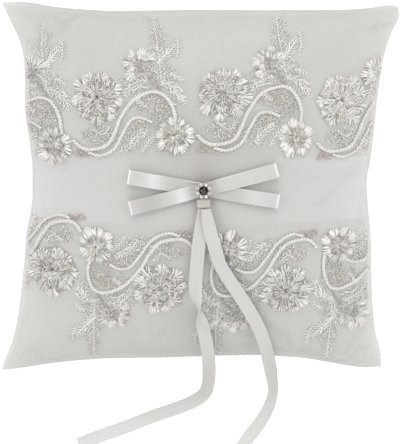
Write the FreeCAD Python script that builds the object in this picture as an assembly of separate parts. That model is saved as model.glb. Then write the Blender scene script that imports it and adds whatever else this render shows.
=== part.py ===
"""Ring bearer pillow: a square stuffed satin cover with two lace bands and a ribbon bow.

The pillow lies on its back. +Z points up out of its front, +Y towards its top edge, and the
ribbon tails fall over its lower edge, towards -Y. The origin is under the middle of the pillow,
on the surface that it lies on. All sizes are in millimetres.
"""
import FreeCAD, Part
import math
import os

os.makedirs("parts", exist_ok=True)
Vector = FreeCAD.Vector

# Cover: half sizes at the corner tips and at the pulled-in middle of each side
TIP_HALF_WIDTH = 98.0
WAIST_HALF_WIDTH = 83.5
TIP_HALF_HEIGHT = 92.0
WAIST_HALF_HEIGHT = 87.0
SIDE_CURVE_SHARE = 0.45
FRONT_LOFT = 30.0
BACK_LOFT = 27.5
REST_CUT = 3.0
DOME_POWER = 0.57
FABRIC_T = 0.5
FILLING_GAP = 1.0
EDGE_ANGLE = 85.0
GRID_STEPS = 14

# Seam and hand stitches that close the turning gap
SEAM_THREAD_T = 0.4
SEAM_THREAD_GAP = 0.25
STITCH_R = 0.2
STITCH_LENGTH = 2.4
STITCH_PITCH = 4.5
STITCH_COUNT = 12
STITCH_GAP = 0.2

# Lace bands
NET_GAP = 0.2
NET_T = 0.2
NET_INNER_Y = 16.0
NET_OUTER_Y = 82.0
NET_SIDE_ANGLE = 72.0
LAYER_GAP = 0.2
LEAF_GAP = 0.12
LEAF_T = 0.25
LEAF_LENGTH = 6.0
LEAF_WIDTH = 2.4
STEM_R = 0.3
SCROLL_CORD_R = 0.6
LARGE_FLOWER_R = 13.0
MID_FLOWER_R = 9.5
BUD_R = 6.0
PETAL_T = 0.7
PETAL_COUNT = 9
PETAL_DEPTH_SHARE = 0.16
UPPER_TIER_SHARE = 0.58
MIDDLE_SHARE = 0.14
MIDDLE_H = 0.5
FLOWER_CLEAR = 0.4
WRAP_SHARE = 0.55
COVERED_SHARE = 0.97

# Bow
BOW_X = 1.2
BOW_Y = 1.2
LOOP_LENGTH = 74.5
RIBBON_WIDTH = 6.5
RIBBON_T = 0.3
LOOP_OPENING = 2.6
RISING_ANGLE = 14.6
FALLING_ANGLE = -9.3
BOW_GAP = 0.5
CENTRE_TACK = 5.0
KNOT_T = 1.4
KNOT_GAP = 0.3
KNOT_ROUNDING = 0.5
THREAD_R = 0.35
THREAD_KNOT_T = 0.6
PINCH = 0.3
CROSSING_SPARE = 1.5
LOOP_GAP = 0.3

# Rosette
CRYSTAL_R = 1.9
CRYSTAL_H = 2.0
BEAD_R = 0.62
BEAD_COLLAR = 0.25
SEAT_WALL = 0.2
SETTING_H = 1.6
BEAD_COUNT = 8
SEAT_CLEAR = 0.08
CRYSTAL_SEAT = 0.7
CRYSTAL_SIDES = 12
CRYSTAL_RINGS = ((0.45, 0.0), (0.98, 0.45), (0.98, 0.55), (0.55, 1.0))

# Ribbon tails: hinge line where the two tails have spread apart
HINGE_Y = -31.0
HINGE_GAP = 0.35
ARC_SHARE = 0.45
STRIP_STEP = 3.0

SEAM_Z = BACK_LOFT - REST_CUT
NET_TOP = NET_GAP + NET_T
LEAF_BASE = NET_TOP + LEAF_GAP
CORD_BASE = LEAF_BASE + LEAF_T + LAYER_GAP
END_R = LOOP_OPENING / 2 + RIBBON_T
CROSSING_TURN = math.radians(RISING_ANGLE - FALLING_ANGLE)
CROSSING = RIBBON_WIDTH / 2 * (1 + math.cos(CROSSING_TURN)) / math.sin(CROSSING_TURN) + CROSSING_SPARE
BOW_TOP = BOW_GAP + 4 * RIBBON_T + 2 * PINCH + LOOP_GAP
BEAD_RING_R = CRYSTAL_R + SEAT_CLEAR + SEAT_WALL + BEAD_R


def side_curve(share):
    """How far a side has swept out towards its tip, from 0 at its middle to 1 at the tip."""
    return SIDE_CURVE_SHARE * share ** 2 + (1.0 - SIDE_CURVE_SHARE) * share ** 4


def half_width(y, grow):
    """Half the cover's width at a height y, moved outwards by grow."""
    share = min(abs(y) / TIP_HALF_HEIGHT, 1.0)
    return WAIST_HALF_WIDTH + grow + (TIP_HALF_WIDTH - WAIST_HALF_WIDTH) * side_curve(share)


def half_height(x, grow):
    """Half the cover's height at a place x, moved outwards by grow."""
    share = min(abs(x) / TIP_HALF_WIDTH, 1.0)
    return WAIST_HALF_HEIGHT + grow + (TIP_HALF_HEIGHT - WAIST_HALF_HEIGHT) * side_curve(share)


def loft_at(x, y, loft, grow):
    """Height of the dome over the seam plane at x, y."""
    across = 1.0 - (x / half_width(y, grow)) ** 2
    along = 1.0 - (y / half_height(x, grow)) ** 2
    return (loft + grow) * (max(across, 0.0) * max(along, 0.0)) ** DOME_POWER


def grid_point(u, v, grow):
    """The plan position whose shares of the half width and half height are u and v."""
    x = u * half_width(0.0, grow)
    y = v * half_height(0.0, grow)
    for _ in range(12):
        x = u * half_width(y, grow)
        y = v * half_height(x, grow)
    return x, y


def dome_surface(us, vs, loft, grow, side):
    """A smooth surface through the dome's points; side is +1 for the front, -1 for the back."""
    rows = []
    for u in us:
        row = []
        for v in vs:
            x, y = grid_point(u, v, grow)
            row.append(Vector(x, y, SEAM_Z + side * loft_at(x, y, loft, grow)))
        rows.append(row)
    surface = Part.BSplineSurface()
    surface.interpolate(rows)
    return surface


def flattened(surface, z):
    """The same surface pressed flat onto the plane at z."""
    flat = surface.copy()
    for i in range(1, flat.NbUPoles + 1):
        for j in range(1, flat.NbVPoles + 1):
            pole = flat.getPole(i, j)
            flat.setPole(i, j, Vector(pole.x, pole.y, z))
    return flat


def solid_between(lower, upper):
    """A closed solid between two surfaces with matching edges."""
    faces = [lower.toShape(), upper.toShape()]
    u0, u1, v0, v1 = lower.bounds()
    for u in (u0, u1):
        faces.append(Part.makeRuledSurface(lower.uIso(u).toShape(), upper.uIso(u).toShape()))
    for v in (v0, v1):
        faces.append(Part.makeRuledSurface(lower.vIso(v).toShape(), upper.vIso(v).toShape()))
    shell = Part.makeShell(faces)
    shell.sewShape()
    solid = Part.makeSolid(shell)
    if solid.Volume < 0:
        solid.reverse()
    return solid


def sines(first, last, steps):
    """Sines of evenly spaced angles, which crowd the grid lines towards the edges."""
    step = (last - first) / steps
    return [math.sin(math.radians(first + step * i)) for i in range(steps + 1)]


def half_pillow(loft, grow, side):
    """One half of the stuffed shape, from its dome to the seam plane."""
    lines = sines(-EDGE_ANGLE, EDGE_ANGLE, GRID_STEPS)
    dome = dome_surface(lines, lines, loft, grow, side)
    base = flattened(dome, SEAM_Z)
    if side > 0:
        return solid_between(base, dome)
    return solid_between(dome, base)


def above(shape, z):
    """What is left of a shape above the plane at z."""
    reach = 4.0 * TIP_HALF_WIDTH
    block = Part.makeBox(reach, reach, reach, Vector(-reach / 2, -reach / 2, z))
    return shape.common(block).Solids[0]


def make_front_panel():
    outer = half_pillow(FRONT_LOFT, 0.0, 1)
    inner = half_pillow(FRONT_LOFT, -FABRIC_T, 1)
    return outer.cut(inner).Solids[0]


def make_back_panel():
    outer = above(half_pillow(BACK_LOFT, 0.0, -1), 0.0)
    inner = above(half_pillow(BACK_LOFT, -FABRIC_T, -1), FABRIC_T)
    return outer.cut(inner).Solids[0]


def make_filling():
    """The stuffed shape inside both panels, flat where the back rests."""
    inset = -FABRIC_T - FILLING_GAP
    lines = sines(-EDGE_ANGLE, EDGE_ANGLE, GRID_STEPS)
    front = dome_surface(lines, lines, FRONT_LOFT, inset, 1)
    back = dome_surface(lines, lines, BACK_LOFT, inset, -1)
    return above(solid_between(back, front), FABRIC_T + FILLING_GAP)


def seam_outline(grow, z):
    """The cover's outline in the plane at z, moved outwards by grow."""
    lines = sines(-EDGE_ANGLE, EDGE_ANGLE, GRID_STEPS)
    flat = flattened(dome_surface(lines, lines, FRONT_LOFT, grow, 1), z)
    u0, u1, v0, v1 = flat.bounds()
    edges = [flat.uIso(u0), flat.vIso(v1), flat.uIso(u1), flat.vIso(v0)]
    return Part.Wire(Part.__sortEdges__([edge.toShape() for edge in edges]))


def make_seam_thread():
    """The lockstitch line, a closed loop just inside both panels' edges."""
    outside = -FABRIC_T - SEAM_THREAD_GAP
    z = SEAM_Z - SEAM_THREAD_T / 2
    outer = Part.Face(seam_outline(outside, z))
    inner = Part.Face(seam_outline(outside - SEAM_THREAD_T, z))
    return outer.cut(inner).Faces[0].extrude(Vector(0, 0, SEAM_THREAD_T))


def make_closing_stitches():
    """Hand stitches over the lower seam, where the cover was turned and filled."""
    stitches = []
    edge_share = math.sin(math.radians(EDGE_ANGLE))
    for i in range(STITCH_COUNT):
        x = (i - (STITCH_COUNT - 1) / 2) * STITCH_PITCH
        y = -edge_share * half_height(x, 0.0) - STITCH_R - STITCH_GAP
        foot = Vector(x, y, SEAM_Z - STITCH_LENGTH / 2)
        stitches.append(Part.makeCylinder(STITCH_R, STITCH_LENGTH, foot, Vector(0, 0, 1)))
    return Part.makeCompound(stitches)


# Lace: a trim with a repeating motif, laid on the front as two bands that mirror each other

def on_front(x, y, offset):
    """A point at an offset out of the front panel, and the panel's outward normal there."""
    step = 0.05
    z = loft_at(x, y, FRONT_LOFT, 0.0)
    slope_x = (loft_at(x + step, y, FRONT_LOFT, 0.0) - z) / step
    slope_y = (loft_at(x, y + step, FRONT_LOFT, 0.0) - z) / step
    normal = Vector(-slope_x, -slope_y, 1.0).normalize()
    return Vector(x, y, SEAM_Z + z) + normal * offset, normal


def laid(shape, x, y, offset, turn):
    """A flat motif turned about its own axis and laid on the front at x, y."""
    point, normal = on_front(x, y, offset)
    tilt = FreeCAD.Rotation(Vector(0, 0, 1), normal)
    spin = FreeCAD.Rotation(Vector(0, 0, 1), turn)
    placed = shape.copy()
    placed.Placement = FreeCAD.Placement(point, tilt.multiply(spin))
    return placed


def covered(x, y, margin):
    """Whether a motif of that size at x, y lies on the cover, clear of the seams."""
    inside_x = abs(x) + margin < COVERED_SHARE * half_width(y, 0.0)
    inside_y = abs(y) + margin < COVERED_SHARE * half_height(x, 0.0)
    return inside_x and inside_y


def flower(radius):
    """Two tiers of scalloped satin-stitch petals around a raised middle."""
    solid = None
    for tier, share in enumerate((1.0, UPPER_TIER_SHARE)):
        tip = radius * share
        valley = tip * (1.0 - PETAL_DEPTH_SHARE)
        edges = []
        for i in range(PETAL_COUNT):
            angles = [(i + part + 0.5 * tier) * 2 * math.pi / PETAL_COUNT for part in (0.0, 0.5, 1.0)]
            reach = (valley, tip, valley)
            points = [Vector(r * math.cos(a), r * math.sin(a), tier * PETAL_T)
                      for r, a in zip(reach, angles)]
            edges.append(Part.Arc(*points).toShape())
        disc = Part.Face(Part.Wire(edges)).extrude(Vector(0, 0, PETAL_T))
        solid = disc if solid is None else solid.fuse(disc)
    top = Vector(0, 0, 2 * PETAL_T)
    middle = Part.makeCylinder(MIDDLE_SHARE * radius, MIDDLE_H, top, Vector(0, 0, 1))
    return solid.fuse(middle).removeSplitter().Solids[0]


def leaf(length, width):
    """A pointed leaf between two arcs."""
    ends = (Vector(0, 0, 0), Vector(length, 0, 0))
    left = Part.Arc(ends[0], Vector(length / 2, width / 2, 0), ends[1]).toShape()
    right = Part.Arc(ends[1], Vector(length / 2, -width / 2, 0), ends[0]).toShape()
    return Part.Face(Part.Wire([left, right])).extrude(Vector(0, 0, LEAF_T))


def rounded_path(points):
    """Straight runs joined by tangent arcs. Returns the edges and each arc's radius."""
    edges = []
    radii = []
    start = points[0]
    for before, corner, after in zip(points, points[1:], points[2:]):
        inward = (before - corner)
        outward = (after - corner)
        reach = ARC_SHARE * min(inward.Length, outward.Length)
        inward = inward.normalize()
        outward = outward.normalize()
        turn = math.pi - inward.getAngle(outward)
        radius = reach / math.tan(turn / 2)
        middle = (inward + outward).normalize()
        apex = corner + middle * (radius / math.cos(turn / 2) - radius)
        first = corner + inward * reach
        last = corner + outward * reach
        edges.append(Part.LineSegment(start, first).toShape())
        edges.append(Part.Arc(first, apex, last).toShape())
        radii.append(radius)
        start = last
    edges.append(Part.LineSegment(start, points[-1]).toShape())
    return edges, radii


def tube(points, radius):
    """A round cord along runs and arcs."""
    edges, _ = rounded_path(points)
    circle = Part.Circle(points[0], points[1] - points[0], radius)
    section = Part.Wire([circle.toShape()])
    return Part.Wire(edges).makePipeShell([section], True, False)


# One repeat of the trim, from its large flower: places of the other motifs and of the scrolls
MID_FLOWER_PLACE = (-23.5, -20.5)
BUD_PLACE = (20.0, 17.0)
OUTER_SCROLL = ((-12.2, -20.3), (-3.5, -24.6), (5.0, -22.5), (11.5, -11.5), (17.0, -1.6),
                (27.3, 4.5), (34.5, 0.1), (37.4, -12.0))
INNER_SCROLL = ((22.5, -8.0), (16.5, -9.0), (12.5, -18.2), (5.6, -26.2), (-4.5, -27.4))
SPRIG = ((31.0, 7.5), (29.5, 15.0), (30.0, 22.5), (28.5, 30.0))
TWIG = ((-7.0, 15.5), (-10.0, 22.0), (-9.5, 29.0))
LEAF_ANGLE = 38.0
LEAF_STAND_OFF = 0.3

# Where the large flowers of each band lie, and the way that the band faces
BANDS = {
    "upper": (((-50.0, 44.5), (10.5, 47.0), (70.0, 43.5)), 1),
    "lower": (((41.0, -48.5), (-19.5, -47.5), (-75.0, -43.0)), -1),
}


def in_band(origin, facing, places):
    """Places in one repeat of the trim as plan positions on the cover."""
    return [(origin[0] + facing * x, origin[1] + facing * y) for x, y in places]


def keep_clear(solids, holes):
    """The solids with the room of the flowers cut out of them."""
    kept = []
    for solid in solids:
        near = [hole for hole in holes if hole.BoundBox.intersect(solid.BoundBox)]
        rest = solid.cut(near) if near else solid
        kept.extend(rest.Solids)
    return kept


def embroidered_line(spots, radius, base):
    """A cord laid through the plan spots that lie on the cover, or nothing if too few do."""
    points = [on_front(x, y, base + radius)[0] for x, y in spots if covered(x, y, 2 * radius)]
    return [tube(points, radius)] if len(points) > 2 else []


def leaves_along(spots):
    """Leaves that stand off both sides of a stem, one pair at the middle of each run."""
    blade = leaf(LEAF_LENGTH, LEAF_WIDTH)
    leaves = []
    for (x0, y0), (x1, y1) in zip(spots, spots[1:]):
        heading = math.atan2(y1 - y0, x1 - x0)
        for side in (1, -1):
            off = heading + side * math.pi / 2
            angle = heading + side * math.radians(LEAF_ANGLE)
            stand_off = STEM_R + LEAF_STAND_OFF
            x = (x0 + x1 + LEAF_LENGTH * math.cos(angle)) / 2 + stand_off * math.cos(off)
            y = (y0 + y1 + LEAF_LENGTH * math.sin(angle)) / 2 + stand_off * math.sin(off)
            if covered(x, y, LEAF_LENGTH / 2):
                leaves.append(laid(blade, x, y, LEAF_BASE, math.degrees(angle)))
    return leaves


def make_net(facing):
    """The tulle ground of one band, from its straight inner edge to its outer edge."""
    first = math.degrees(math.asin(NET_INNER_Y / WAIST_HALF_HEIGHT))
    last = math.degrees(math.asin(NET_OUTER_Y / WAIST_HALF_HEIGHT))
    us = sines(-NET_SIDE_ANGLE, NET_SIDE_ANGLE, GRID_STEPS)
    vs = [facing * share for share in sines(first, last, GRID_STEPS)]
    lower = dome_surface(us, vs, FRONT_LOFT, NET_GAP, 1)
    upper = dome_surface(us, vs, FRONT_LOFT, NET_TOP, 1)
    return solid_between(lower, upper)


def make_band(origins, facing):
    """All the embroidery of one band, by kind."""
    sizes = {"large_flowers": LARGE_FLOWER_R, "mid_flowers": MID_FLOWER_R, "buds": BUD_R}
    places = {"large_flowers": (0.0, 0.0), "mid_flowers": MID_FLOWER_PLACE, "buds": BUD_PLACE}
    kinds = {"net": [make_net(facing)], "scroll_cords": [], "stems": [], "leaves": []}
    holes = []
    for kind, radius in sizes.items():
        kinds[kind] = []
        room = Part.makeCylinder(radius + FLOWER_CLEAR, 2 * radius, Vector(0, 0, -radius))
        for origin in origins:
            x, y = in_band(origin, facing, [places[kind]])[0]
            if covered(x, y, WRAP_SHARE * radius):
                kinds[kind].append(laid(flower(radius), x, y, LEAF_BASE, 0.0))
                holes.append(laid(room, x, y, 0.0, 0.0))
    for origin in origins:
        for scroll in (OUTER_SCROLL, INNER_SCROLL):
            spots = in_band(origin, facing, scroll)
            kinds["scroll_cords"] += embroidered_line(spots, SCROLL_CORD_R, CORD_BASE)
        for sprig in (SPRIG, TWIG):
            spots = in_band(origin, facing, sprig)
            kinds["stems"] += embroidered_line(spots, STEM_R, LEAF_BASE)
            kinds["leaves"] += leaves_along(spots)
    for kind in ("scroll_cords", "stems", "leaves"):
        kinds[kind] = keep_clear(kinds[kind], holes)
    return kinds


# Bow: two flattened closed loops of one ribbon, crossed and tacked at the middle

def front_along(angle, s):
    """Height of the front under the bow, at a distance s from its middle."""
    x = BOW_X + s * math.cos(math.radians(angle))
    y = BOW_Y + s * math.sin(math.radians(angle))
    return SEAM_Z + loft_at(x, y, FRONT_LOFT, 0.0)


def opening(s):
    """Clear height inside a loop: pressed together in the middle, open towards its ends."""
    share = min(max((abs(s) - CROSSING) / (LOOP_LENGTH / 2 - END_R - CROSSING), 0.0), 1.0)
    return PINCH + (LOOP_OPENING - PINCH) * share ** 2 * (3 - 2 * share)


def lift(s, above_other):
    """How far a loop's underside is off the front: the upper loop rides over the lower one."""
    if not above_other:
        return BOW_GAP
    share = min(max((abs(s) - CROSSING) / CROSSING, 0.0), 1.0)
    over = 2 * RIBBON_T + PINCH + LOOP_GAP
    return BOW_GAP + over * (1.0 - share ** 2 * (3 - 2 * share))


def spline(points):
    curve = Part.BSplineCurve()
    curve.interpolate(points)
    return curve.toShape()


def loop_outline(angle, above_other, inset, first, last):
    """A loop's side outline, moved in by inset, between two distances from the middle."""
    count = 16
    stations = [first + (last - first) * i / count for i in range(count + 1)]
    low = [Vector(s, 0, front_along(angle, s) + lift(s, above_other) + inset) for s in stations]
    rise = [opening(s) + 2 * (RIBBON_T - inset) for s in stations]
    high = [point + Vector(0, 0, up) for point, up in zip(low, rise)]
    edges = [spline(low), spline(high)]
    for i, s in ((0, first), (-1, last)):
        if abs(s) < CROSSING:
            edges.append(Part.LineSegment(low[i], high[i]).toShape())
        else:
            bulge = Vector(math.copysign(rise[i] / 2, s), 0, rise[i] / 2)
            edges.append(Part.Arc(low[i], low[i] + bulge, high[i]).toShape())
    return Part.Face(Part.Wire(Part.__sortEdges__(edges)))


def make_loop(angle, above_other):
    """One closed ribbon loop that lies along a direction across the front."""
    end = LOOP_LENGTH / 2 - END_R
    band = loop_outline(angle, above_other, 0.0, -end, end)
    for first, last in ((-end, -CENTRE_TACK / 2), (CENTRE_TACK / 2, end)):
        band = band.cut(loop_outline(angle, above_other, RIBBON_T, first, last))
    loop = band.Faces[0].extrude(Vector(0, RIBBON_WIDTH, 0))
    loop.translate(Vector(0, -RIBBON_WIDTH / 2, 0))
    loop.rotate(Vector(0, 0, 0), Vector(0, 0, 1), angle)
    loop.translate(Vector(BOW_X, BOW_Y, 0))
    return loop


def make_knot():
    """The folded ribbon under the rosette, between the loops' lower edges and the tails."""
    tilt = math.radians(RISING_ANGLE)
    drop = RIBBON_WIDTH / 2 * (1 / math.cos(tilt) + math.tan(tilt)) + KNOT_GAP
    low = LEFT_ROUTE[0][1] + KNOT_GAP
    foot = Vector(BOW_X - RIBBON_WIDTH / 2, low, front_along(0.0, 0.0) + BOW_GAP)
    knot = Part.makeBox(RIBBON_WIDTH, BOW_Y - drop - low, KNOT_T, foot)
    return knot.makeFillet(KNOT_ROUNDING, knot.Edges)


def make_bow_thread():
    """The tack that goes through both loops and the front, with a knot inside the cover."""
    top = front_along(0.0, 0.0) + BOW_TOP
    foot = front_along(0.0, 0.0) - FABRIC_T - THREAD_KNOT_T
    middle = Vector(BOW_X, BOW_Y, foot)
    thread = Part.makeCylinder(THREAD_R, top - foot, middle, Vector(0, 0, 1))
    knot = Part.makeCylinder(2 * THREAD_R, THREAD_KNOT_T, middle, Vector(0, 0, 1))
    return thread.fuse(knot).removeSplitter().Solids[0]


# Rosette: a metal cup with a faceted stone and a ring of small beads

def rosette_base():
    return Vector(BOW_X, BOW_Y, front_along(0.0, 0.0) + BOW_TOP + SEAT_CLEAR)


def make_setting():
    """A shallow cup with scalloped prongs, a seat for the stone and one for each bead."""
    cup = Part.makeCylinder(BEAD_RING_R, SETTING_H, rosette_base(), Vector(0, 0, 1))
    for spot in bead_spots():
        petal = Vector(spot.x, spot.y, rosette_base().z)
        cup = cup.fuse(Part.makeCylinder(BEAD_R + BEAD_COLLAR, SETTING_H, petal, Vector(0, 0, 1)))
    for spot in bead_spots():
        cup = cup.cut(Part.makeSphere(BEAD_R + SEAT_CLEAR, spot))
    seat = rosette_base() + Vector(0, 0, SETTING_H - CRYSTAL_SEAT)
    hollow = Part.makeCylinder(CRYSTAL_R + SEAT_CLEAR, SETTING_H, seat, Vector(0, 0, 1))
    return cup.cut(hollow).removeSplitter().Solids[0]


def bead_spots():
    """The middles of the small beads, which stand half out of the cup's rim."""
    spots = []
    for i in range(BEAD_COUNT):
        turn = 2 * math.pi * (i + 0.5) / BEAD_COUNT
        arm = Vector(BEAD_RING_R * math.cos(turn), BEAD_RING_R * math.sin(turn), SETTING_H)
        spots.append(rosette_base() + arm)
    return spots


def polygon(radius, z, sides):
    """A closed regular polygon around the rosette's middle."""
    centre = rosette_base()
    turns = [2 * math.pi * i / sides for i in range(sides + 1)]
    return Part.makePolygon([centre + Vector(radius * math.cos(t), radius * math.sin(t), z)
                             for t in turns])


def make_crystal():
    """A cut stone: a pavilion below its girdle, a crown and a flat table above."""
    low = SETTING_H - CRYSTAL_SEAT + SEAT_CLEAR
    wires = [polygon(CRYSTAL_R * share, low + CRYSTAL_H * rise, CRYSTAL_SIDES)
             for share, rise in CRYSTAL_RINGS]
    return Part.makeLoft(wires, True, True)


def make_beads():
    return Part.makeCompound([Part.makeSphere(BEAD_R, spot) for spot in bead_spots()])


# Ribbon tails: the points of each route, from the bow over the lower edge to the table
LEFT_ROUTE = (
    (1.0, -8.0, 55.4), (0.3, -16.0, 56.5), (-1.2, -26.0, 56.0), (-2.2, -37.0, 54.3),
    (-3.0, -48.0, 52.0), (-1.2, -59.0, 48.9), (1.2, -69.5, 45.3), (3.2, -80.0, 40.2),
    (4.0, -90.0, 32.8), (4.0, -98.0, 22.5), (3.6, -104.5, 12.0), (2.0, -111.0, 3.4),
    (-5.0, -116.2, 0.8), (-15.0, -120.0, 0.6), (-27.0, -124.2, 0.6), (-39.0, -129.2, 0.6),
    (-51.0, -133.2, 0.6), (-63.0, -138.2, 0.6),
)
RIGHT_ROUTE = (
    (2.4, -8.0, 56.9), (3.6, -16.5, 57.4), (6.6, -26.5, 56.7), (9.0, -36.0, 54.6),
    (15.0, -45.5, 52.3), (21.3, -55.5, 49.6), (26.6, -64.8, 46.2), (30.8, -74.5, 42.0),
    (33.2, -84.0, 36.0), (34.8, -92.5, 27.0), (36.0, -99.5, 16.5), (36.8, -106.0, 7.5),
    (36.4, -113.5, 1.6), (33.6, -121.5, 0.6), (28.8, -129.0, 0.6), (23.0, -136.2, 0.6),
    (18.2, -144.5, 0.6), (13.5, -153.0, 0.6), (11.0, -162.5, 0.6),
)


def strip(points):
    """A flat ribbon along runs and arcs, level across its width. Returns it and its length."""
    edges, radii = rounded_path(points)
    sections = []
    length = 0.0
    for edge in edges:
        count = max(1, math.ceil(edge.Length / STRIP_STEP))
        for i in range(count + (edge is edges[-1])):
            at = edge.FirstParameter + (edge.LastParameter - edge.FirstParameter) * i / count
            middle = edge.valueAt(at)
            along = edge.tangentAt(at)
            across = along.cross(Vector(0, 0, 1)).normalize() * (RIBBON_WIDTH / 2)
            out = across.cross(along).normalize() * (RIBBON_T / 2)
            corners = [middle + across + out, middle - across + out,
                       middle - across - out, middle + across - out]
            sections.append(Part.makePolygon(corners + corners[:1]))
        length += edge.Length
    solid = Part.makeLoft(sections, True, True)
    return solid, length, radii


def make_tail(name, route):
    """A tail in two solids, parted at its hinge line."""
    solid, length, radii = strip([Vector(*point) for point in route])
    print(name, "length", round(length, 1), "volume", round(solid.Volume, 1),
          "section x length", round(RIBBON_WIDTH * RIBBON_T * length, 1))
    print(name, "bend radii", [round(radius, 1) for radius in radii])
    reach = 4 * TIP_HALF_WIDTH
    near = Vector(-reach / 2, HINGE_Y + HINGE_GAP, -reach / 2)
    far = Vector(-reach / 2, HINGE_Y - HINGE_GAP - reach, -reach / 2)
    top = solid.common(Part.makeBox(reach, reach, reach, near))
    free = solid.common(Part.makeBox(reach, reach, reach, far))
    return top.Solids[0], free.Solids[0]


def write(name, shape):
    """Write one node and say what it holds."""
    shape.exportStep(f"parts/{name}.step")
    print(name, "solids", len(shape.Solids), "volume", round(shape.Volume, 2), shape.isValid())


write("front_panel", make_front_panel())
write("back_panel", make_back_panel())
write("filling", make_filling())
write("seam_thread", make_seam_thread())
write("closing_stitches", make_closing_stitches())
for band_name, (band_origins, band_facing) in BANDS.items():
    for kind_name, solids in make_band(band_origins, band_facing).items():
        write(f"{band_name}_lace_{kind_name}", Part.makeCompound(solids))
write("bow_loop_falling", make_loop(FALLING_ANGLE, False))
write("bow_loop_rising", make_loop(RISING_ANGLE, True))
write("tail_knot", make_knot())
write("bow_thread", make_bow_thread())
write("rosette_setting", make_setting())
write("centre_crystal", make_crystal())
write("ring_beads", make_beads())
for tail_name, tail_route in (("left_tail", LEFT_ROUTE), ("right_tail", RIGHT_ROUTE)):
    tail_top, tail_free = make_tail(tail_name, tail_route)
    write(f"{tail_name}_top", tail_top)
    write(tail_name, tail_free)
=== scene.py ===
# %% [markdown]
# # A ring bearer pillow, piece by piece
# The real object is a square satin cushion. Two bands of embroidered tulle lie over its front,
# and a flat ribbon bow with a small jewel holds two long ribbon tails, which tie the rings.
# The design of the pillow is fixed before this file starts: every size below is read from it
# or is a place on it, in metres, with +Z out of the pillow's front and +Y towards its top edge.

# %% Load the frame
import math

import bpy
import numpy as np
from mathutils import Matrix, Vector


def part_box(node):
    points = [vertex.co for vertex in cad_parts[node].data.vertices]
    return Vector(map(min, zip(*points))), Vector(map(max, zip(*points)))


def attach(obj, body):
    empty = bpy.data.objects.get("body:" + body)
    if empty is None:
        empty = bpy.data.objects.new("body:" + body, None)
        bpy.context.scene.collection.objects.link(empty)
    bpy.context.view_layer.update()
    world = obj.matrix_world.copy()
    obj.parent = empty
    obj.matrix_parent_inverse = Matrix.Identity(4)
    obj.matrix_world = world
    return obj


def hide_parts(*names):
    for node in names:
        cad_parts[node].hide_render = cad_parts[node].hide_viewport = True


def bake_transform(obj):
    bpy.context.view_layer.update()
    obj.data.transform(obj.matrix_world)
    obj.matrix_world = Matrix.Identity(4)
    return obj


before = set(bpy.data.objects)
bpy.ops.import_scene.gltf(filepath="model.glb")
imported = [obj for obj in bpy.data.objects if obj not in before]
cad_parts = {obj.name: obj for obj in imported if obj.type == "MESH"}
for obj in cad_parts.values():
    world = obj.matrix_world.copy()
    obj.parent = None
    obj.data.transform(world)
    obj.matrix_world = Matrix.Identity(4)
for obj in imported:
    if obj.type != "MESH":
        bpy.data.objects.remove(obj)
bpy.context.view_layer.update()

MM = 0.001

# %% [markdown]
# ## Camera
# The pillow lies on its back and is seen from almost straight above, from a little way
# towards its top edge. A long lens far away keeps its sides nearly parallel, as a studio
# picture of a flat product does.

# %% Camera
SEAM_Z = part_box("seam_thread")[0][2] + 0.2 * MM
CAMERA_TILT = math.radians(8.0)
CAMERA_DISTANCE = 1.25
VIEW_WIDTH = 0.2015
AIM = Vector((0.0002, -0.0189, SEAM_Z))
camera_data = bpy.data.cameras.new("studio_camera")
camera_data.sensor_fit = "HORIZONTAL"
camera_data.sensor_width = 36.0
camera_data.lens = camera_data.sensor_width * CAMERA_DISTANCE / VIEW_WIDTH
camera_data.clip_start = 0.01
camera = bpy.data.objects.new("studio_camera", camera_data)
bpy.context.scene.collection.objects.link(camera)
camera.location = AIM + CAMERA_DISTANCE * Vector((0, math.sin(CAMERA_TILT), math.cos(CAMERA_TILT)))
camera.rotation_euler = (-CAMERA_TILT, 0.0, 0.0)
bpy.context.scene.camera = camera
print("lens", round(camera_data.lens, 1), "mm")

# %% [markdown]
# ## Floor and light
# A product like this is lit from all sides through white cloth, so no shadow has an edge.
# The camera sees the floor as clean white, and the pillow is lit by a light grey one.
# Four wide panels stand round the pillow in a white room: the rounded sides catch more light
# than the middle, which gives the cushion its volume.

# %% Floor and light
floor_mesh = bpy.data.meshes.new("floor")
floor_mesh.from_pydata([(-4, -4, 0), (4, -4, 0), (4, 4, 0), (-4, 4, 0)], [], [(0, 1, 2, 3)])
floor = bpy.data.objects.new("floor", floor_mesh)
bpy.context.scene.collection.objects.link(floor)
floor_paint = bpy.data.materials.new("floor_paint")
floor_paint.use_nodes = True
floor_nodes = floor_paint.node_tree.nodes
floor_links = floor_paint.node_tree.links
floor_nodes["Principled BSDF"].inputs["Base Color"].default_value = (0.62, 0.62, 0.62, 1.0)
clean_white = floor_nodes.new("ShaderNodeEmission")
clean_white.inputs["Strength"].default_value = 1.1
seen = floor_nodes.new("ShaderNodeLightPath")
either = floor_nodes.new("ShaderNodeMixShader")
floor_links.new(seen.outputs["Is Camera Ray"], either.inputs[0])
floor_links.new(floor_nodes["Principled BSDF"].outputs[0], either.inputs[1])
floor_links.new(clean_white.outputs[0], either.inputs[2])
floor_links.new(either.outputs[0], floor_nodes["Material Output"].inputs["Surface"])
floor_mesh.materials.append(floor_paint)


def softbox(name, place, aim, size, watts):
    """A square area light that faces a point."""
    data = bpy.data.lights.new(name, "AREA")
    data.size = size
    data.energy = watts
    lamp = bpy.data.objects.new(name, data)
    bpy.context.scene.collection.objects.link(lamp)
    lamp.location = place
    lamp.rotation_euler = (Vector(aim) - Vector(place)).to_track_quat("-Z", "Y").to_euler()
    return lamp


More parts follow.
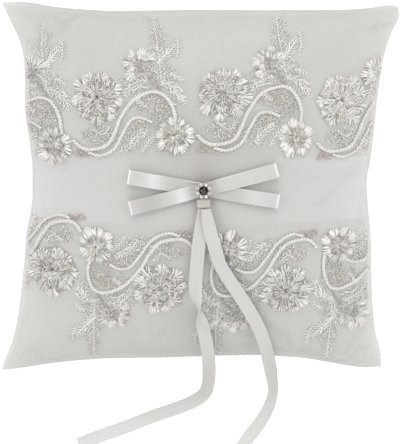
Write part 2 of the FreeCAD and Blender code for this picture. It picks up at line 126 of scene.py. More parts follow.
PANEL_SIZE = 1.4
PANELS = (("top_edge_panel", 0.0, 1.5, 11.4), ("lower_edge_panel", 0.0, -1.5, 8.6),
          ("left_panel", -1.5, 0.1, 10.5), ("right_panel", 1.5, 0.1, 10.5))
for panel, panel_x, panel_y, watts in PANELS:
    softbox(panel, (panel_x, panel_y, 0.9), (0, 0, 0), PANEL_SIZE, watts)
world = bpy.data.worlds.new("studio_air")
world.use_nodes = True
background = world.node_tree.nodes["Background"]
background.inputs["Color"].default_value = (1.0, 1.0, 1.0, 1.0)
background.inputs["Strength"].default_value = 0.56
bpy.context.scene.world = world
bpy.context.scene.view_settings.view_transform = "Standard"

# %% [markdown]
# ## Shader sums
# A material's pattern is a sum of waves and noises. Written with one Math node after another
# it can't be read, so a small class wraps a node's socket and lets plain Python arithmetic
# add the nodes.

# %% Shader sums
class Field:
    """A number that varies over a surface: a socket, with + - * / and some functions."""

    def __init__(self, tree, socket):
        self.tree = tree
        self.socket = socket

    def node(self, kind, settings=None, **sockets):
        """Add any node: its settings first, then the values or links of its sockets."""
        node = self.tree.nodes.new(kind)
        for name, value in (settings or {}).items():
            setattr(node, name, value)
        for name, value in sockets.items():
            key = int(name[1:]) if name[1:].isdigit() else name.replace("_", " ")
            if isinstance(value, Field):
                self.tree.links.new(value.socket, node.inputs[key])
            else:
                node.inputs[key].default_value = value
        return node

    def math(self, operation, a, b=0.0):
        node = self.node("ShaderNodeMath", {"operation": operation}, s0=a, s1=b)
        return Field(self.tree, node.outputs[0])

    def __add__(self, other): return self.math("ADD", self, other)
    def __radd__(self, other): return self.math("ADD", other, self)
    def __sub__(self, other): return self.math("SUBTRACT", self, other)
    def __rsub__(self, other): return self.math("SUBTRACT", other, self)
    def __mul__(self, other): return self.math("MULTIPLY", self, other)
    def __rmul__(self, other): return self.math("MULTIPLY", other, self)
    def __truediv__(self, other): return self.math("DIVIDE", self, other)
    def __pow__(self, other): return self.math("POWER", self, other)
    def sine(self): return self.math("SINE", self)
    def absolute(self): return self.math("ABSOLUTE", self)
    def above(self, limit): return self.math("GREATER_THAN", self, limit)
    def smallest(self, other): return self.math("MINIMUM", self, other)
    def largest(self, other): return self.math("MAXIMUM", self, other)

    def mix(self, low, high):
        """A colour between two colours, by this number."""
        node = self.node("ShaderNodeMix", {"data_type": "RGBA"}, s0=self, s6=low, s7=high)
        return Field(self.tree, node.outputs[2])


class Cloth:
    """A Principled material, with the fields that patterns are made from."""

    def __init__(self, name, **values):
        self.material = bpy.data.materials.new(name)
        self.material.use_nodes = True
        self.tree = self.material.node_tree
        self.shader = self.tree.nodes["Principled BSDF"]
        for key, value in values.items():
            self.shader.inputs[key.replace("_", " ")].default_value = value
        coordinates = self.tree.nodes.new("ShaderNodeTexCoord")
        self.place = Field(self.tree, coordinates.outputs["Object"])
        self.uv = Field(self.tree, coordinates.outputs["UV"])

    def math_of(self, operation, field):
        return field.math(operation, field)

    def parts(self, vector):
        """The three numbers of a vector field."""
        node = vector.node("ShaderNodeSeparateXYZ", s0=vector)
        return [Field(self.tree, socket) for socket in node.outputs]

    def noise(self, scale, detail=2.0, vector=None):
        """Smooth noise from 0 to 1; scale is in waves per metre on Object coordinates."""
        source = vector or self.place
        node = source.node("ShaderNodeTexNoise", Vector=source, Scale=scale, Detail=detail)
        return Field(self.tree, node.outputs[0])

    def streaks(self):
        """Coordinates that are long along a ribbon and short across it, from its UVs."""
        u, v = self.parts(self.uv)[:2]
        node = u.node("ShaderNodeCombineXYZ", s0=u * 0.05, s1=v * 0.9)
        return Field(self.tree, node.outputs[0])

    def attribute(self, name):
        """A number painted on the mesh's points."""
        node = self.place.node("ShaderNodeAttribute", {"attribute_name": name})
        return Field(self.tree, node.outputs["Fac"])

    def feed(self, key, field):
        self.tree.links.new(field.socket, self.shader.inputs[key])

    def over(self, colour, name, above):
        """A colour, with another one over it where a painted attribute is 1."""
        return self.attribute(name).mix(colour, above)

    def bump(self, height, strength, distance):
        node = height.node("ShaderNodeBump", Height=height, Strength=strength, Distance=distance)
        self.tree.links.new(node.outputs[0], self.shader.inputs["Normal"])


print("shader helpers ready")

# %% [markdown]
# ## The cushion's shape
# Two squares of satin are sewn edge to edge and stuffed. The middle rises, the corners stay
# flat and point outwards, and each side is drawn in between them. The shape is a function of
# two shares, u across and v up, from -1 to 1. Each side has its own reach, at places along it
# in millimetres, because a hand stuffed pillow is never quite square.

# %% Outline and dome
FRONT_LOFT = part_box("front_panel")[1][2] - SEAM_Z
BACK_LOFT = 27.5 * MM
DOME_POWER = 0.57
CELLS = 76
LEFT_SIDE = ((-1.0, -102.6), (-0.93, -99.2), (-0.84, -95.4), (-0.7, -92.4), (-0.4, -89.0), (-0.25, -88.0),
             (-0.1, -84.8), (0.1, -84.6), (0.26, -86.2), (0.4, -88.2), (0.62, -87.8), (0.76, -89.2),
             (0.9, -94.8), (1.0, -100.2))
RIGHT_SIDE = ((-1.0, 93.8), (-0.9, 90.8), (-0.8, 88.0), (-0.6, 86.3), (-0.3, 85.6), (-0.1, 83.8),
              (0.04, 82.8), (0.1, 84.6), (0.3, 86.6), (0.5, 88.2), (0.7, 90.8), (0.82, 93.8), (0.90, 97.4),
              (0.94, 100.4), (1.0, 101.0))
TOP_SIDE = ((-1.0, 91.6), (-0.86, 91.4), (-0.75, 89.2), (-0.6, 87.8), (-0.45, 86.9), (-0.1, 87.5),
            (0.4, 87.4), (0.7, 87.5), (0.84, 88.4), (0.93, 90.4), (1.0, 90.8))
LOWER_SIDE = ((-1.0, -95.4), (-0.86, -93.2), (-0.72, -90.9), (-0.5, -88.9), (-0.2, -88.4), (0.1, -87.4),
              (0.3, -87.0), (0.55, -88.4), (0.72, -91.2), (0.85, -93.4), (1.0, -94.0))


def side_reach(places, share):
    """A side's reach at shares along it: its places joined by lines, averaged over a short span."""
    shares, reaches = np.array(places).T
    near = np.linspace(-0.045, 0.045, 7)
    return np.interp(share[..., None] + near, shares, reaches).mean(axis=-1) * MM


def plan(u, v):
    """Place on the seam plane: |u| times the reach of its side, the same for v, and blunt tips."""
    u, v = np.broadcast_arrays(np.asarray(u, float), np.asarray(v, float))
    x = np.abs(u) * np.where(u > 0, side_reach(RIGHT_SIDE, v), side_reach(LEFT_SIDE, v))
    y = np.abs(v) * np.where(v > 0, side_reach(TOP_SIDE, u), side_reach(LOWER_SIDE, u))
    blunt = np.where(u > 0, np.where(v > 0, 3.2, 2.2), 1.0) * MM
    tip = np.clip((np.abs(u) + np.abs(v) - 1.86) / 0.14, 0, 1) ** 2
    return x - np.sign(u) * blunt * tip, y - 0.5 * np.sign(v) * blunt * tip


def crowded(count):
    """Grid lines from -1 to 1 that crowd towards the seams, where the cloth turns over."""
    t = np.linspace(-1, 1, count + 1)
    return 0.42 * t + 0.58 * np.sin(t * math.pi / 2)


def cushion_points(loft, side, shrink=0.0):
    """Points of one half: height is the loft times ((1-u^2)(1-v^2)) to the dome power."""
    u, v = np.meshgrid(crowded(CELLS), crowded(CELLS), indexing="ij")
    x, y = plan(u, v)
    z = SEAM_Z + side * (loft - shrink) * ((1 - u ** 2) * (1 - v ** 2)) ** DOME_POWER
    if side < 0:
        z = np.where(z < 1.5 * MM, 1.5 * MM * np.exp((z - 1.5 * MM) / (1.5 * MM)), z)
    inward = 1 - shrink / 0.09
    return np.stack([x * inward, y * inward, z], axis=-1)


print("loft", round(FRONT_LOFT / MM, 1), "mm over the seam")

# %% [markdown]
# ## Mesh helpers
# A new piece is a grid of points worked out as whole arrays. Its faces are the grid's cells,
# and a grid can close on itself in either direction.

# %% Mesh helpers
def add_piece(name, points, faces, uvs=None, smooth=True):
    """A mesh object from arrays of points and faces, with one uv pair for each face corner."""
    mesh = bpy.data.meshes.new(name)
    mesh.from_pydata(points.reshape(-1, 3), [], faces)
    if uvs is not None:
        layer = mesh.uv_layers.new(name="UVMap")
        corners = np.empty(len(mesh.loops), dtype=np.int32)
        mesh.loops.foreach_get("vertex_index", corners)
        layer.data.foreach_set("uv", uvs.reshape(-1, 2)[corners].astype(np.float32).ravel())
    mesh.polygons.foreach_set("use_smooth", np.full(len(mesh.polygons), smooth))
    mesh.update()
    piece = bpy.data.objects.new(name, mesh)
    bpy.context.scene.collection.objects.link(piece)
    return piece


def grid_faces(rows, columns, closed_rows=False, closed_columns=False, start=0):
    """The four corners of each cell of a grid of points, row by row."""
    i = np.arange(rows if closed_rows else rows - 1)
    j = np.arange(columns if closed_columns else columns - 1)
    i, j = [a.ravel() for a in np.meshgrid(i, j, indexing="ij")]
    next_i, next_j = (i + 1) % rows, (j + 1) % columns
    corners = [i * columns + j, next_i * columns + j, next_i * columns + next_j, i * columns + next_j]
    return (np.stack(corners, axis=1) + start).tolist()


def paint(piece, name, values, domain="POINT"):
    """Store one number for each point or face, for a material to read."""
    layer = piece.data.attributes.new(name, "FLOAT", domain)
    layer.data.foreach_set("value", np.asarray(values, dtype=np.float32).ravel())


def read_points(mesh):
    flat = np.empty(len(mesh.vertices) * 3, dtype=np.float32)
    mesh.vertices.foreach_get("co", flat)
    return flat.reshape(-1, 3).astype(float)


def finish_piece(piece, material, body, replaced=()):
    """Give a piece its material, its body and the nodes that it stands for."""
    piece.data.materials.clear()
    piece.data.materials.append(material)
    if body:
        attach(piece, body)
    if replaced:
        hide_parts(*replaced)
    print(piece.name, len(piece.data.polygons), "faces")
    return piece


print("mesh helpers ready")

# %% [markdown]
# ## Stuffing the cover
# Cloth gives way where the filling pushes and gathers where a seam holds it. Blender's cloth
# simulation finds those soft hollows by itself: the closed cushion is blown up for a few
# frames, with a little more cloth than it needs. The change is kept within a millimetre and
# fades out at the seam, so that the pillow keeps its measured size and its outline.

# %% Blow the cushion up
def closed_cushion():
    """Front and back grids that share the points of the seam, as one closed mesh."""
    front = cushion_points(FRONT_LOFT, 1, 0.6 * MM)
    back = cushion_points(BACK_LOFT, -1, 0.6 * MM)
    rows = CELLS + 1
    count = rows * rows
    index = np.arange(count).reshape(rows, rows)
    inner = np.zeros((rows, rows), dtype=bool)
    inner[1:-1, 1:-1] = True
    back_index = index.copy()
    back_index[inner] = count + np.arange(inner.sum())
    points = np.concatenate([front.reshape(-1, 3), back[inner]])
    front_faces = np.array(grid_faces(rows, rows))
    back_faces = back_index.ravel()[front_faces][:, ::-1]
    return points, front_faces.tolist() + back_faces.tolist(), back_index.ravel()


start_points, cushion_faces, back_order = closed_cushion()
SEAM_HOLD = 0.55
FRAMES = 20


def simulated(points, faces):
    """The closed cushion after a short cloth simulation under pressure."""
    scene = bpy.context.scene
    piece = add_piece("cushion_in_work", points, faces)
    rows = CELLS + 1
    index = np.arange(rows * rows).reshape(rows, rows)
    seam = np.unique(np.concatenate([index[0], index[-1], index[:, 0], index[:, -1]]))
    group = piece.vertex_groups.new(name="seam")
    group.add(seam.tolist(), SEAM_HOLD, "REPLACE")
    cloth = piece.modifiers.new("Cloth", "CLOTH")
    settings = cloth.settings
    settings.quality = 6
    settings.mass = 0.15
    settings.tension_stiffness = 25
    settings.compression_stiffness = 25
    settings.shear_stiffness = 8
    settings.bending_stiffness = 0.25
    settings.shrink_min = -0.035
    settings.use_pressure = True
    settings.uniform_pressure_force = 3.0
    settings.effector_weights.gravity = 0.0
    settings.vertex_group_mass = "seam"
    settings.pin_stiffness = 0.8
    for frame_number in range(1, FRAMES + 1):
        scene.frame_set(frame_number)
    graph = bpy.context.evaluated_depsgraph_get()
    result = read_points(piece.evaluated_get(graph).data)
    scene.frame_set(1)
    bpy.data.objects.remove(piece)
    return result


MOST_MOVE = 0.9 * MM
MOST_SWELL = 0.25 * MM
SEAM_FADE = 0.05
blown = simulated(start_points, cushion_faces)
lines_u, lines_v = np.meshgrid(crowded(CELLS), crowded(CELLS), indexing="ij")
held = np.minimum(1, (1 - lines_u ** 2) * (1 - lines_v ** 2) / SEAM_FADE)
held = np.concatenate([held.ravel(), held[1:-1, 1:-1].ravel()])[:, None]
move = (blown - start_points) * held
free_move = np.linalg.norm(move, axis=1)
facing = np.where(np.arange(len(move)) < (CELLS + 1) ** 2, 1.0, -1.0)
move[:, 2] = facing * np.clip(facing * move[:, 2], -MOST_MOVE, MOST_SWELL)
move[:, :2] = np.clip(move[:, :2], -MOST_MOVE, MOST_MOVE)
blown = start_points + move
print("cloth would move up to", round(float(free_move.max()) / MM, 1), "mm, mean",
      round(float(free_move.mean()) / MM, 2))

# %% [markdown]
# ## The satin cover
# The simulated grid gets a point between each pair of its own, small puckers where the seam
# gathers the cloth, and a few hollows where the filling is thin. Everything that lies on the
# pillow is placed with `cloth_at`, which finds the cover's own point over a place in plan.

# %% Front and back covers
def between(values, axis=0):
    """One more value between each pair, on a cubic through its four neighbours."""
    values = np.moveaxis(values, axis, 0)
    wide = np.concatenate([2 * values[:1] - values[1:2], values, 2 * values[-1:] - values[-2:-1]])
    result = np.empty((2 * len(values) - 1,) + values.shape[1:])
    result[0::2] = values
    result[1::2] = (9 * (wide[1:-2] + wide[2:-1]) - wide[:-3] - wide[3:]) / 16
    return np.moveaxis(result, 0, axis)


FINE_LINES = between(crowded(CELLS))
FINE_ROWS = len(FINE_LINES)
FINE_U, FINE_V = np.meshgrid(FINE_LINES, FINE_LINES, indexing="ij")
# Each hollow: its place x, y, how far it spreads in x and in y, and its depth, in millimetres.
HOLLOWS = ((85, 76, 6.0, 4.5, 0.8), (-74, 70, 16, 9, 0.8), (0, -72, 30, 7, 0.5), (62, 0, 9, 22, 0.7),
           (-64, -4, 8, 20, 0.6), (84, -78, 8, 6, 0.9), (1.2, 1.2, 13, 9, 1.3))


def puckers(points, side):
    """Gathers across each seam, a sum of sines that fades within a centimetre, and the hollows."""
    x, y = points[..., 0] / MM, points[..., 1] / MM
    rise = 0
    for share, along, phase in ((FINE_U, y, 0.4), (FINE_V, x, 1.9)):
        inside = (1 - np.abs(share)) * 85.0
        fade = np.exp(-inside / 7.0) * (1 - np.exp(-inside / 1.2))
        wave = np.sin(along * 0.83 + phase + 2 * share) + 0.7 * np.sin(along * 0.47 - phase)
        rise = rise + 0.34 * fade * wave * (0.6 + 0.4 * np.sin(along * 0.11 + phase))
    for hx, hy, wide, tall, deep in HOLLOWS:
        rise = rise - deep * np.exp(-((x - hx) / wide) ** 2 - ((y - hy) / tall) ** 2)
    rim = np.minimum(1, (1 - FINE_U ** 2) * (1 - FINE_V ** 2) / 0.02)
    return rise * rim * MM * side


grid_shape = (CELLS + 1, CELLS + 1, 3)
front_grid = between(between(blown[:grid_shape[0] ** 2].reshape(grid_shape), 0), 1)
back_grid = between(between(blown[back_order].reshape(grid_shape), 0), 1)
front_grid[..., 2] += puckers(front_grid, 1)
back_grid[..., 2] = np.maximum(back_grid[..., 2] + puckers(back_grid, -1), 0.35 * MM)
front_normals = np.cross(np.gradient(front_grid, axis=0), np.gradient(front_grid, axis=1))
front_normals /= np.linalg.norm(front_normals, axis=-1, keepdims=True)
cover_uv = front_grid[..., :2] / 0.2 + 0.5
front_cover = add_piece("front_cover", front_grid, grid_faces(FINE_ROWS, FINE_ROWS), cover_uv)
back_faces = [face[::-1] for face in grid_faces(FINE_ROWS, FINE_ROWS)]
back_cover = add_piece("back_cover", back_grid, back_faces, cover_uv)
paint(front_cover, "front", np.ones(FINE_ROWS ** 2))
for cover in (front_cover, back_cover):
    # A painted highlight: the satin is painted lighter towards the left and right seams, where the rounded
    # sides catch more light.
    paint(cover, "edge", 0.6 * np.abs(FINE_U) ** 9)
print("top of the cover", round(float(front_grid[..., 2].max()) / MM, 2), "mm")


PLAN_STEPS = 14


def shares_at(x, y):
    """The shares u, v of places in plan: plan() turned round by repeated steps."""
    right, up = np.where(x < 0, -1.0, 1.0), np.where(y < 0, -1.0, 1.0)
    u, v = x / 0.09, y / 0.09
    for _ in range(PLAN_STEPS):
        u = np.clip(x / np.abs(plan(right, v)[0]), -1, 1)
        v = np.clip(y / np.abs(plan(u, up)[1]), -1, 1)
    return u, v


def cloth_at(x, y):
    """The front cover's points and normals over places in plan, between its grid points."""
    u, v = shares_at(np.asarray(x, float), np.asarray(y, float))
    steps = np.arange(FINE_ROWS)
    i, j = np.interp(u, FINE_LINES, steps), np.interp(v, FINE_LINES, steps)
    i0 = np.minimum(i.astype(int), FINE_ROWS - 2)
    j0 = np.minimum(j.astype(int), FINE_ROWS - 2)
    a, b = (i - i0)[..., None], (j - j0)[..., None]
    found = []
    for grid in (front_grid, front_normals):
        low = grid[i0, j0] * (1 - b) + grid[i0, j0 + 1] * b
        high = grid[i0 + 1, j0] * (1 - b) + grid[i0 + 1, j0 + 1] * b
        found.append(low * (1 - a) + high * a)
    return found[0], found[1] / np.linalg.norm(found[1], axis=-1, keepdims=True)


# %% [markdown]
# ### Satin
# Satin is woven so that most warp threads lie on top. It is smooth and soft grey-white, with a
# faint line along each warp thread, a slow change in tone painted as light and shade where the
# cloth leans, and a slightly uneven gloss. Round the bow it is painted a little warmer and darker,
# as shade round the bow with the warm colour the metal throws on it. Towards the side seams it
# is painted lighter, a painted highlight where the sides catch more light.

# %% Satin of the cover
satin = Cloth("cover_satin", Roughness=0.46, Sheen_Weight=0.25, Sheen_Roughness=0.4,
              Specular_IOR_Level=0.42)
sx, sy = satin.parts(satin.place)[:2]
cloudy = satin.noise(22.0, 3.0)
patch = satin.noise(70.0, 2.0)
warp = (sx * 21000.0 + satin.noise(300.0) * 3.0).sine()
weft = (sy * 15700.0).sine()
from_bow = sx - 0.0012
near_bow = from_bow * from_bow + (sy - 0.0012) * (sy - 0.0012)
round_bow = from_bow * from_bow + (sy - 0.016) * (sy - 0.016)
# Painted shade round the bow and just above it: the front cover is painted warmer and darker there.
painted_bow_shade = (satin.math_of("EXPONENT", near_bow * -20000.0) * 0.8
           + satin.math_of("EXPONENT", round_bow * -1500.0) * 0.60) * satin.attribute("front")
# The slow noises paint the satin lighter and darker in broad patches, as painted shade where the cloth
# leans.
warm = (cloudy * 0.7 + patch * 0.3 + warp * 0.02).mix((0.543, 0.541, 0.526, 1), (0.622, 0.622, 0.607, 1))
bow_shaded_satin = painted_bow_shade.mix(warm, (0.44, 0.415, 0.385, 1))
# The painted edge highlight goes over the satin here.
satin.feed("Base Color", satin.over(bow_shaded_satin, "edge", (0.78, 0.78, 0.765, 1)))
satin.feed("Roughness", cloudy * 0.16 + patch * 0.1 + 0.34)
satin.bump(warp * 0.6 + weft * 0.25 + satin.noise(900.0, 4.0) * 0.8, 0.10, 0.00012)
finish_piece(front_cover, satin.material, "pillow", ["front_panel"])
finish_piece(back_cover, satin.material, "pillow", ["back_panel"])

# %% [markdown]
# ### Inside the cover
# The filling is a soft body a little smaller than the cover. The machine seam runs just inside
# the edge, and one hand-closed stretch of the lower seam shows short slanting stitches.

# %% Filling and seams
def tubes(paths, normals, radius, sides=8, flat=1.0, phase=0.0):
    """Round bars along paths (count, stations, 3), as points and faces; their radius may change along them.

    A point is path + radius * (side * cos(a) + normal * flat * sin(a)), for angles a.
    """
    count, stations = paths.shape[:2]
    along = np.gradient(paths, axis=1)
    along /= np.maximum(np.linalg.norm(along, axis=-1, keepdims=True), 1e-9)
    side = np.cross(normals, along)
    side /= np.maximum(np.linalg.norm(side, axis=-1, keepdims=True), 1e-9)
    up = np.cross(along, side)
    angle = -np.arange(sides) * 2 * math.pi / sides + phase
    radius = np.broadcast_to(radius, (count, stations))[..., None, None]
    ring = (side[:, :, None] * np.cos(angle)[:, None] + up[:, :, None] * flat * np.sin(angle)[:, None])
    points = (paths[:, :, None] + radius * ring).reshape(-1, 3)
    one = grid_faces(stations, sides, closed_columns=True)
    block = np.array(one)
    starts = np.arange(count)[:, None, None] * stations * sides
    faces = (block[None] + starts).reshape(-1, 4).tolist()
    caps = np.arange(sides)
    last = (stations - 1) * sides + caps[::-1]
    ends = np.concatenate([caps[None] + starts[:, 0], last[None] + starts[:, 0]])
    return points, faces + ends.tolist()


filling_front = cushion_points(FRONT_LOFT, 1, 5.0 * MM)
filling_back = cushion_points(BACK_LOFT, -1, 5.0 * MM)
filling_back[..., 2] = np.maximum(filling_back[..., 2], 2.0 * MM)
inside = np.zeros(grid_shape[:2], dtype=bool)
inside[1:-1, 1:-1] = True
filling_points = np.concatenate([filling_front.reshape(-1, 3), filling_back[inside]])
lumps = np.sin(filling_points[:, 0] * 310) * np.sin(filling_points[:, 1] * 270 + 1) * 0.3 * MM
filling_points[:, 2] += lumps
filling_points[:, 2] = np.maximum(filling_points[:, 2], 1.6 * MM)
filling = add_piece("filling_fibre", filling_points, cushion_faces)
fibre = Cloth("polyester_fibre", Roughness=0.9, Sheen_Weight=0.4)
fibre.feed("Base Color", fibre.noise(160.0, 5.0).mix((0.70, 0.70, 0.68, 1), (0.86, 0.86, 0.84, 1)))
fibre.bump(fibre.noise(450.0, 6.0), 0.6, 0.0008)
finish_piece(filling, fibre.material, "pillow", ["filling"])

rim = np.concatenate([front_grid[:-1, 0], front_grid[-1, :-1], front_grid[::-1, -1][:-1],
                      front_grid[0, ::-1][:-1]])
rim = rim * np.array([0.9965, 0.9965, 1.0]) + np.array([0, 0, 0.05 * MM])
travel = np.concatenate([[0], np.cumsum(np.linalg.norm(np.diff(rim, axis=0), axis=1))])
STITCH_PITCH = 2.5 * MM
STITCHES = int(travel[-1] / STITCH_PITCH)
stops = (np.arange(STITCHES)[:, None] + np.linspace(0.06, 0.94, 5)[None]) * STITCH_PITCH
line = np.stack([np.interp(stops, travel, rim[:, k]) for k in range(3)], axis=-1)
line[..., 2] += 0.18 * MM * np.sin(np.linspace(0, math.pi, 5))
upward = np.broadcast_to([0.0, 0.0, 1.0], line.shape)
slim = 0.16 * MM * np.array([0.4, 1, 1, 1, 0.4])
seam = add_piece("seam_stitches", *tubes(line, upward, slim, 6))
thread = Cloth("sewing_thread", Roughness=0.5, Sheen_Weight=0.2)
thread.feed("Base Color", thread.noise(1400.0, 2.0).mix((0.60, 0.59, 0.56, 1), (0.78, 0.78, 0.75, 1)))
thread.bump(thread.noise(5000.0, 2.0), 0.4, 0.00005)
finish_piece(seam, thread.material, "pillow", ["seam_thread"])

closing_low, closing_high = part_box("closing_stitches")
closing_x = np.linspace(closing_low[0], closing_high[0], 14)
spread = np.linspace(-1, 1, 7)
u_close, _ = shares_at(closing_x, np.full(14, -0.02))
edge_y = plan(u_close, np.full(14, -1.0))[1]
close_path = np.stack(np.broadcast_arrays(closing_x[:, None] + 0.55 * MM * spread,
                                          edge_y[:, None] + (0.55 - 0.35 * spread) * MM,
                                          SEAM_Z + (1.1 * spread - 1.3) * MM), axis=-1)
outward = np.broadcast_to([0.0, -1.0, 0.0], close_path.shape)
closing = add_piece("closing_stitches_visual", *tubes(close_path, outward, 0.18 * MM, 8))
finish_piece(closing, thread.material, "pillow", ["closing_stitches"])

# %% [markdown]
# ## Lace
# Each band is a strip of tulle: a fine net with holes a millimetre wide, cut straight along its
# inner edge and caught in the seams along its other three. One repeat of the embroidery is
# given by places relative to its large flower, in millimetres. Every band uses it three times
# and once more for the part that shows at its end, turned half round for the lower band.

# %% Tulle
NET_ROWS, NET_COLUMNS = 47, 161
NET_END = 0.982
INNER_EDGE = 15.6 * MM


def tulle(name, facing, replaced):
    """The net: rows run from the inner edge outwards, columns along the band."""
    along = np.linspace(-NET_END, NET_END, NET_COLUMNS)[None]
    inner = facing * INNER_EDGE + 0.25 * MM * np.sin(along * 19 + facing)
    first = shares_at(along * 85 * MM, inner)[1]
    share = first + (facing * NET_END - first) * np.linspace(0, 1, NET_ROWS)[:, None]
    x, y = plan(along + 0 * share, share)
    points, normals = cloth_at(x, y)
    lift = 0.30 * MM + 0.10 * MM * np.sin(x * 410 + 3 * y) * np.sin(y * 370)
    points = points + normals * lift[..., None]
    faces = grid_faces(NET_ROWS, NET_COLUMNS)
    if facing > 0:
        faces = [face[::-1] for face in faces]
    net = add_piece(name, points, faces, np.stack([x, y], axis=-1) / MM)
    spans = [np.linalg.norm(np.diff(points, axis=axis), axis=-1).sum(axis=axis).mean() for axis in (1, 0)]
    print(name, "lies", round(float(spans[0]), 4), "by", round(float(spans[1]), 4), "m")
    finish_piece(net, lace_net.material, "pillow", replaced)
    return net


lace_net = Cloth("lace_net", Roughness=0.65)
nu, nv = lace_net.parts(lace_net.uv)[:2]
net_wave = 2 * math.pi / 1.05
threads_a = (nu * net_wave).sine().absolute()
threads_b = ((nu * 0.5 + nv * 0.866) * net_wave).sine().absolute()
threads_c = ((nu * 0.5 - nv * 0.866) * net_wave).sine().absolute()
open_hole = threads_a.smallest(threads_b).smallest(threads_c).above(0.17)
tint = lace_net.noise(60.0, 3.0)
lace_net.feed("Base Color", tint.mix((0.70, 0.69, 0.665, 1), (0.80, 0.795, 0.775, 1)))
lace_net.feed("Alpha", 0.38 - open_hole * 0.29)
lace_net.bump(1.0 - open_hole, 0.3, 0.0001)
tulle("upper_net", 1, ["upper_lace_net"])
tulle("lower_net", -1, ["lower_lace_net"])

# %% [markdown]
# ### Stitches
# Machine embroidery is thousands of short thread runs, packed side by side. `Stitching`
# collects such runs as plan positions, and lays them all on the cover in one go: a run is a
# closed, tapered body of five stations with a four-sided section, bowed sideways and crowned
# in its middle. Each run carries its own tone, which varies from thread to thread and also
# carries painted shade, from shaded to bright, and hue, from olive (-1) through white (0) to
# the faded pink of the real trim (1).

# %% Stitch builder
dice = np.random.default_rng(11)
STATIONS = np.array([0.0, 0.10, 0.5, 0.9, 1.0])
FULLNESS = np.array([0.5, 0.9, 1.0, 0.95, 0.6])
RUN_POINTS = 4 * len(STATIONS)
LINE_TONE = 0.74
LACE_LIMIT = 0.988


class Stitching:
    """Thread runs, kept as columns: start x y, end x y, bow, width, lift, crown, tone, hue."""

    def __init__(self):
        self.rows = []

    def add(self, start, end, bow=0.0, width=0.8, lift=0.4, crown=0.5, tone=0.8, hue=0.0):
        """Sizes are in millimetres; any of them may be one number or one for each run."""
        start, end = np.broadcast_arrays(np.atleast_2d(start), np.atleast_2d(end))
        columns = [start[:, 0], start[:, 1], end[:, 0], end[:, 1], bow, width, lift, crown, tone, hue]
        count = max(np.size(column) for column in columns)
        self.rows.append(np.stack([np.broadcast_to(column, count) for column in columns], axis=1))

    def piece(self, name, replaced, extra=None):
        """Lay every run on the cover and make one piece of them; `extra` is a laid line's points
        and faces, which join the same piece."""
        rows = np.concatenate(self.rows)
        rows = rows[self.on_cover(rows)]
        start, end = rows[:, None, 0:2] * MM, rows[:, None, 2:4] * MM
        run = end - start
        sideways = np.stack([-run[..., 1], run[..., 0]], axis=-1)
        t = STATIONS[None, :, None]
        flat = start + run * t + sideways * rows[:, None, 4:5] * 4 * t * (1 - t)
        points, normals = cloth_at(flat[..., 0], flat[..., 1])
        along = np.gradient(points, axis=1)
        along /= np.maximum(np.linalg.norm(along, axis=-1, keepdims=True), 1e-9)
        side = np.cross(normals, along)
        half = rows[:, 5:6, None] * MM / 2 * FULLNESS[None, :, None]
        rise = (rows[:, 6:7, None] + rows[:, 7:8, None] * np.sin(t * math.pi)) * MM
        core = points + normals * rise
        ring = np.stack([core + side * half, core - normals * half * 0.7,
                         core - side * half, core + normals * half], axis=2)
        count = len(rows)
        block = np.array(grid_faces(5, 4, closed_columns=True) + [[0, 1, 2, 3], [19, 18, 17, 16]])
        first_points = np.arange(count)[:, None, None] * RUN_POINTS
        faces = (block[None] + first_points).reshape(-1, 4).tolist()
        points = ring.reshape(-1, 3)
        tone = np.repeat(rows[:, 8], RUN_POINTS)
        hue = np.repeat(rows[:, 9], RUN_POINTS)
        if extra is not None:
            more_points, more_faces = extra
            faces += [[index + len(points) for index in face] for face in more_faces]
            tone = np.concatenate([tone, np.full(len(more_points), LINE_TONE)])
            hue = np.concatenate([hue, np.zeros(len(more_points))])
            points = np.concatenate([points, more_points])
        piece = add_piece(name, points, faces)
        paint(piece, "tone", tone)
        paint(piece, "hue", hue)
        return finish_piece(piece, embroidery.material, "pillow", replaced)

    @staticmethod
    def on_cover(rows):
        """Which runs lie wholly on the cover, clear of its seams."""
        keep = np.ones(len(rows), dtype=bool)
        for x, y in ((rows[:, 0], rows[:, 1]), (rows[:, 2], rows[:, 3])):
            u, v = shares_at(x * MM, y * MM)
            keep &= (np.abs(u) < LACE_LIMIT) & (np.abs(v) < LACE_LIMIT)
        return keep


embroidery = Cloth("embroidery_thread", Roughness=0.55, Sheen_Weight=0.3, Sheen_Roughness=0.35)
tone = embroidery.attribute("tone")
hue = embroidery.attribute("hue")
speckle = embroidery.noise(1500.0, 2.0)
# Tone takes each thread from a dark painted shade up to its white; the speckle is uneven thread.
white = (tone * 0.85 + speckle * 0.3 - 0.07).mix((0.26, 0.238, 0.205, 1), (1.0, 0.985, 0.955, 1))
pinked = (hue.largest(0.0) * 0.75).mix(white, (0.52, 0.43, 0.36, 1))
olive_share = (hue * -1.0).largest(0.0) * 0.7
embroidery.feed("Base Color", olive_share.mix(pinked, (0.42, 0.42, 0.31, 1)))
embroidery.bump(embroidery.noise(3800.0, 3.0), 0.35, 0.0001)
print("stitch builder ready")

# %% [markdown]
# ### Motifs
# The large flower has four tiers of radial satin stitch under a middle of small knots. The
# medium one is brighter on one side, and the bud is a fan on a faintly coloured base.

# %% Flowers
def polar(centre, radius, angle):
    """Plan positions at distances and angles from a centre."""
    return np.stack([centre[0] + radius * np.cos(angle), centre[1] + radius * np.sin(angle)], axis=-1)


